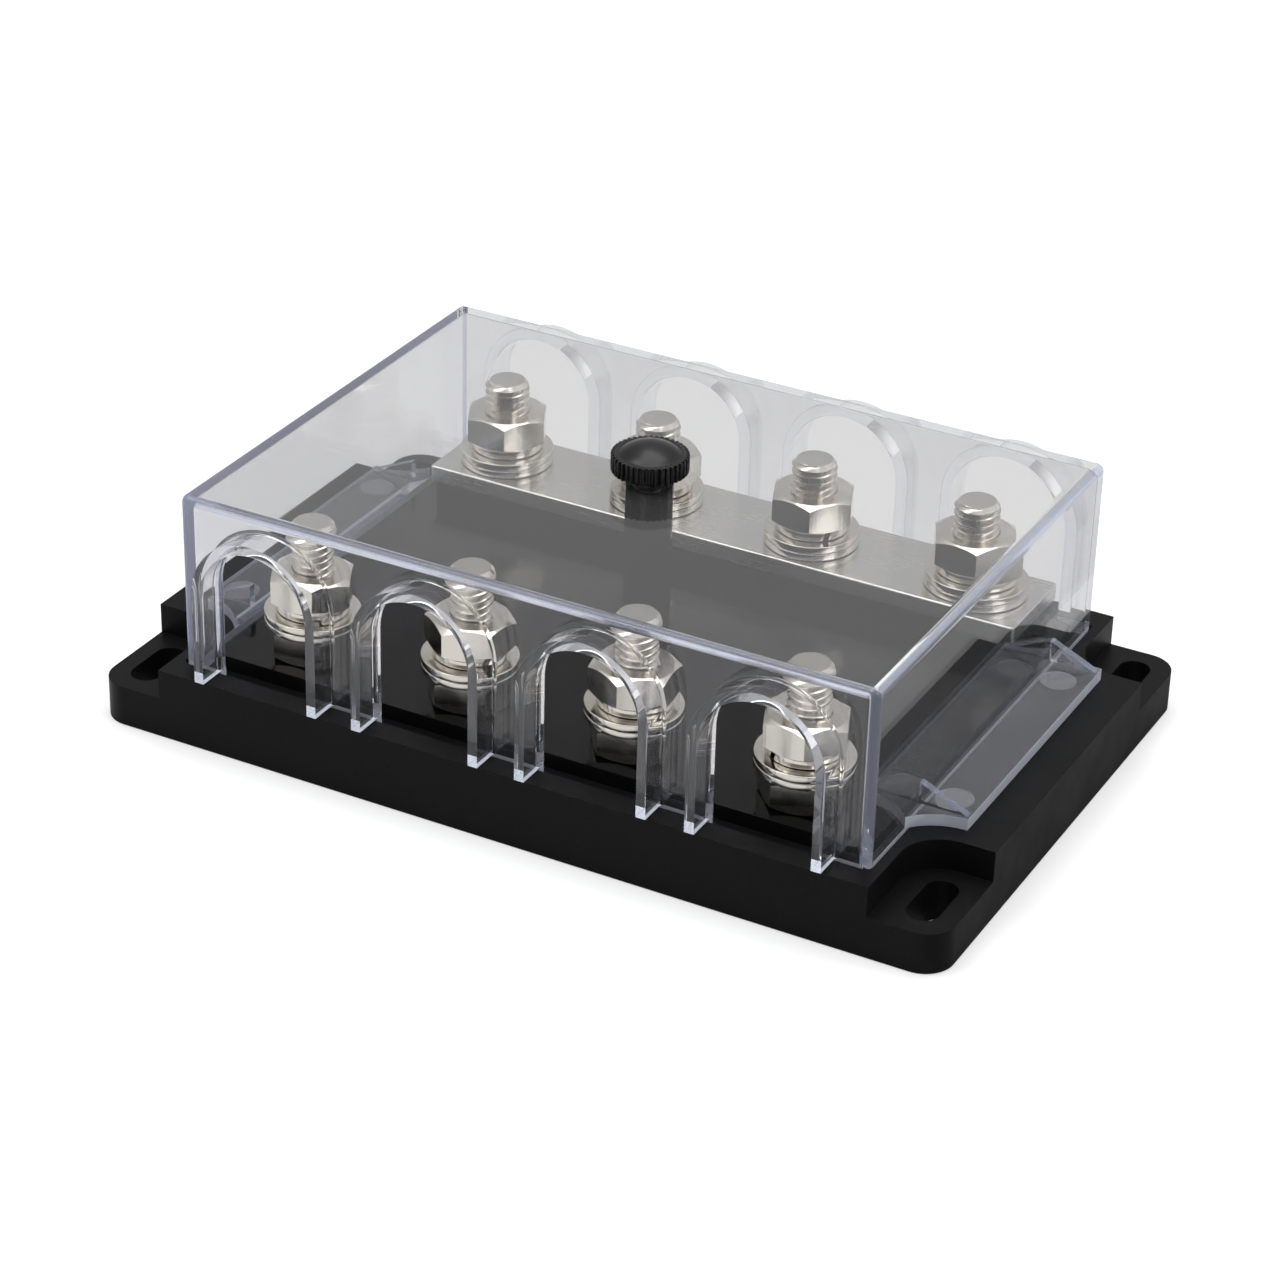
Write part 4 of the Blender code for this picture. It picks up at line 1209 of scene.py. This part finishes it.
# %% White room
AZIMUTH = math.radians(27.597)
right = Vector((math.cos(AZIMUTH), math.sin(AZIMUTH), 0))
SEEN_THROUGH_COVER = 0.89
world = bpy.data.worlds.new("white_room")
scene.world = world
world.use_nodes = True
tree = world.node_tree
background = tree.nodes["Background"]
path = tree.nodes.new("ShaderNodeLightPath")
direction = add(tree, "ShaderNodeTexCoord", output="Generated")
axes = tree.nodes.new("ShaderNodeSeparateXYZ")
tree.links.new(direction, axes.inputs[0])
overhead = remap(tree, axes.outputs["Z"], 0.55, 0.9, 0.0, 0.75)
behind = remap(tree, axes.outputs["Y"], -0.6, 0.7, 0.16, 0.52)
across = add(tree, "ShaderNodeVectorMath", {0: direction, 1: tuple(right)}, output="Value",
             operation="DOT_PRODUCT")
at_the_sides = calc(tree, "MULTIPLY", path.outputs["Is Glossy Ray"],
                    remap(tree, calc(tree, "ABSOLUTE", across), 0.55, 0.85, 0.0, 0.7))
room_light = calc(tree, "ADD", calc(tree, "ADD", overhead, behind), at_the_sides)
reflected = calc(tree, "GREATER_THAN", path.outputs["Glossy Depth"], 0.5)
straight = calc(tree, "MULTIPLY", path.outputs["Is Transmission Ray"], calc(tree, "SUBTRACT", 1.0, reflected))
through = calc(tree, "MULTIPLY", straight, SEEN_THROUGH_COVER)
white = calc(tree, "MAXIMUM", path.outputs["Is Camera Ray"], through)
tree.links.new(calc(tree, "MAXIMUM", white, room_light), background.inputs["Strength"])
background.inputs["Color"].default_value = (1, 1, 1, 1)
print("world nodes:", len(tree.nodes))

# %% Soft lamps


def soft_lamp(name, place, aim, size, power):
    """A square lamp of a size in metres that looks at a point."""
    data = bpy.data.lights.new(name, "AREA")
    data.shape = "SQUARE"
    data.size = size
    data.energy = power
    lamp = bpy.data.objects.new(name, data)
    scene.collection.objects.link(lamp)
    lamp.location = place
    lamp.rotation_euler = (Vector(aim) - Vector(place)).to_track_quat("-Z", "Y").to_euler()
    return lamp


aim = (0, 0, 0.02)
soft_lamp("softbox", (0.0, 0.1, 0.9), aim, 0.7, 3.4)
soft_lamp("key", (-0.45, -0.35, 0.85), aim, 0.5, 2.2)
soft_lamp("fill", (0.75, -0.2, 0.55), aim, 0.4, 1.4)

# %% [markdown]
# The camera stands where the photographer's did, to the right of the front and about 29 degrees
# up, with a long lens, and is tilted a degree and a half. Its turn to the right, the azimuth, was
# set with the room.

# %% Camera
ELEVATION = math.radians(29.224)
ROLL = math.radians(1.556)
data = bpy.data.cameras.new("camera")
data.sensor_width = 36
data.lens = 103.83
camera = bpy.data.objects.new("camera", data)
scene.collection.objects.link(camera)
back = Vector((math.sin(AZIMUTH) * math.cos(ELEVATION), -math.cos(AZIMUTH) * math.cos(ELEVATION),
               math.sin(ELEVATION)))
above = back.cross(right)
rolled_right = math.cos(ROLL) * right + math.sin(ROLL) * above
rolled_up = math.cos(ROLL) * above - math.sin(ROLL) * right
turned = Matrix((rolled_right, rolled_up, back)).transposed().to_4x4()
camera.matrix_world = Matrix.Translation((0.24225, -0.46525, 0.30615)) @ turned
scene.camera = camera
scene.view_settings.view_transform = "Standard"
print("camera at:", [round(value, 3) for value in camera.location])

# %% [markdown]
# ## Finish
# The scene is brought up to date. Nothing here may make the block bigger than its solids.

# %% Finish
bpy.context.view_layer.update()
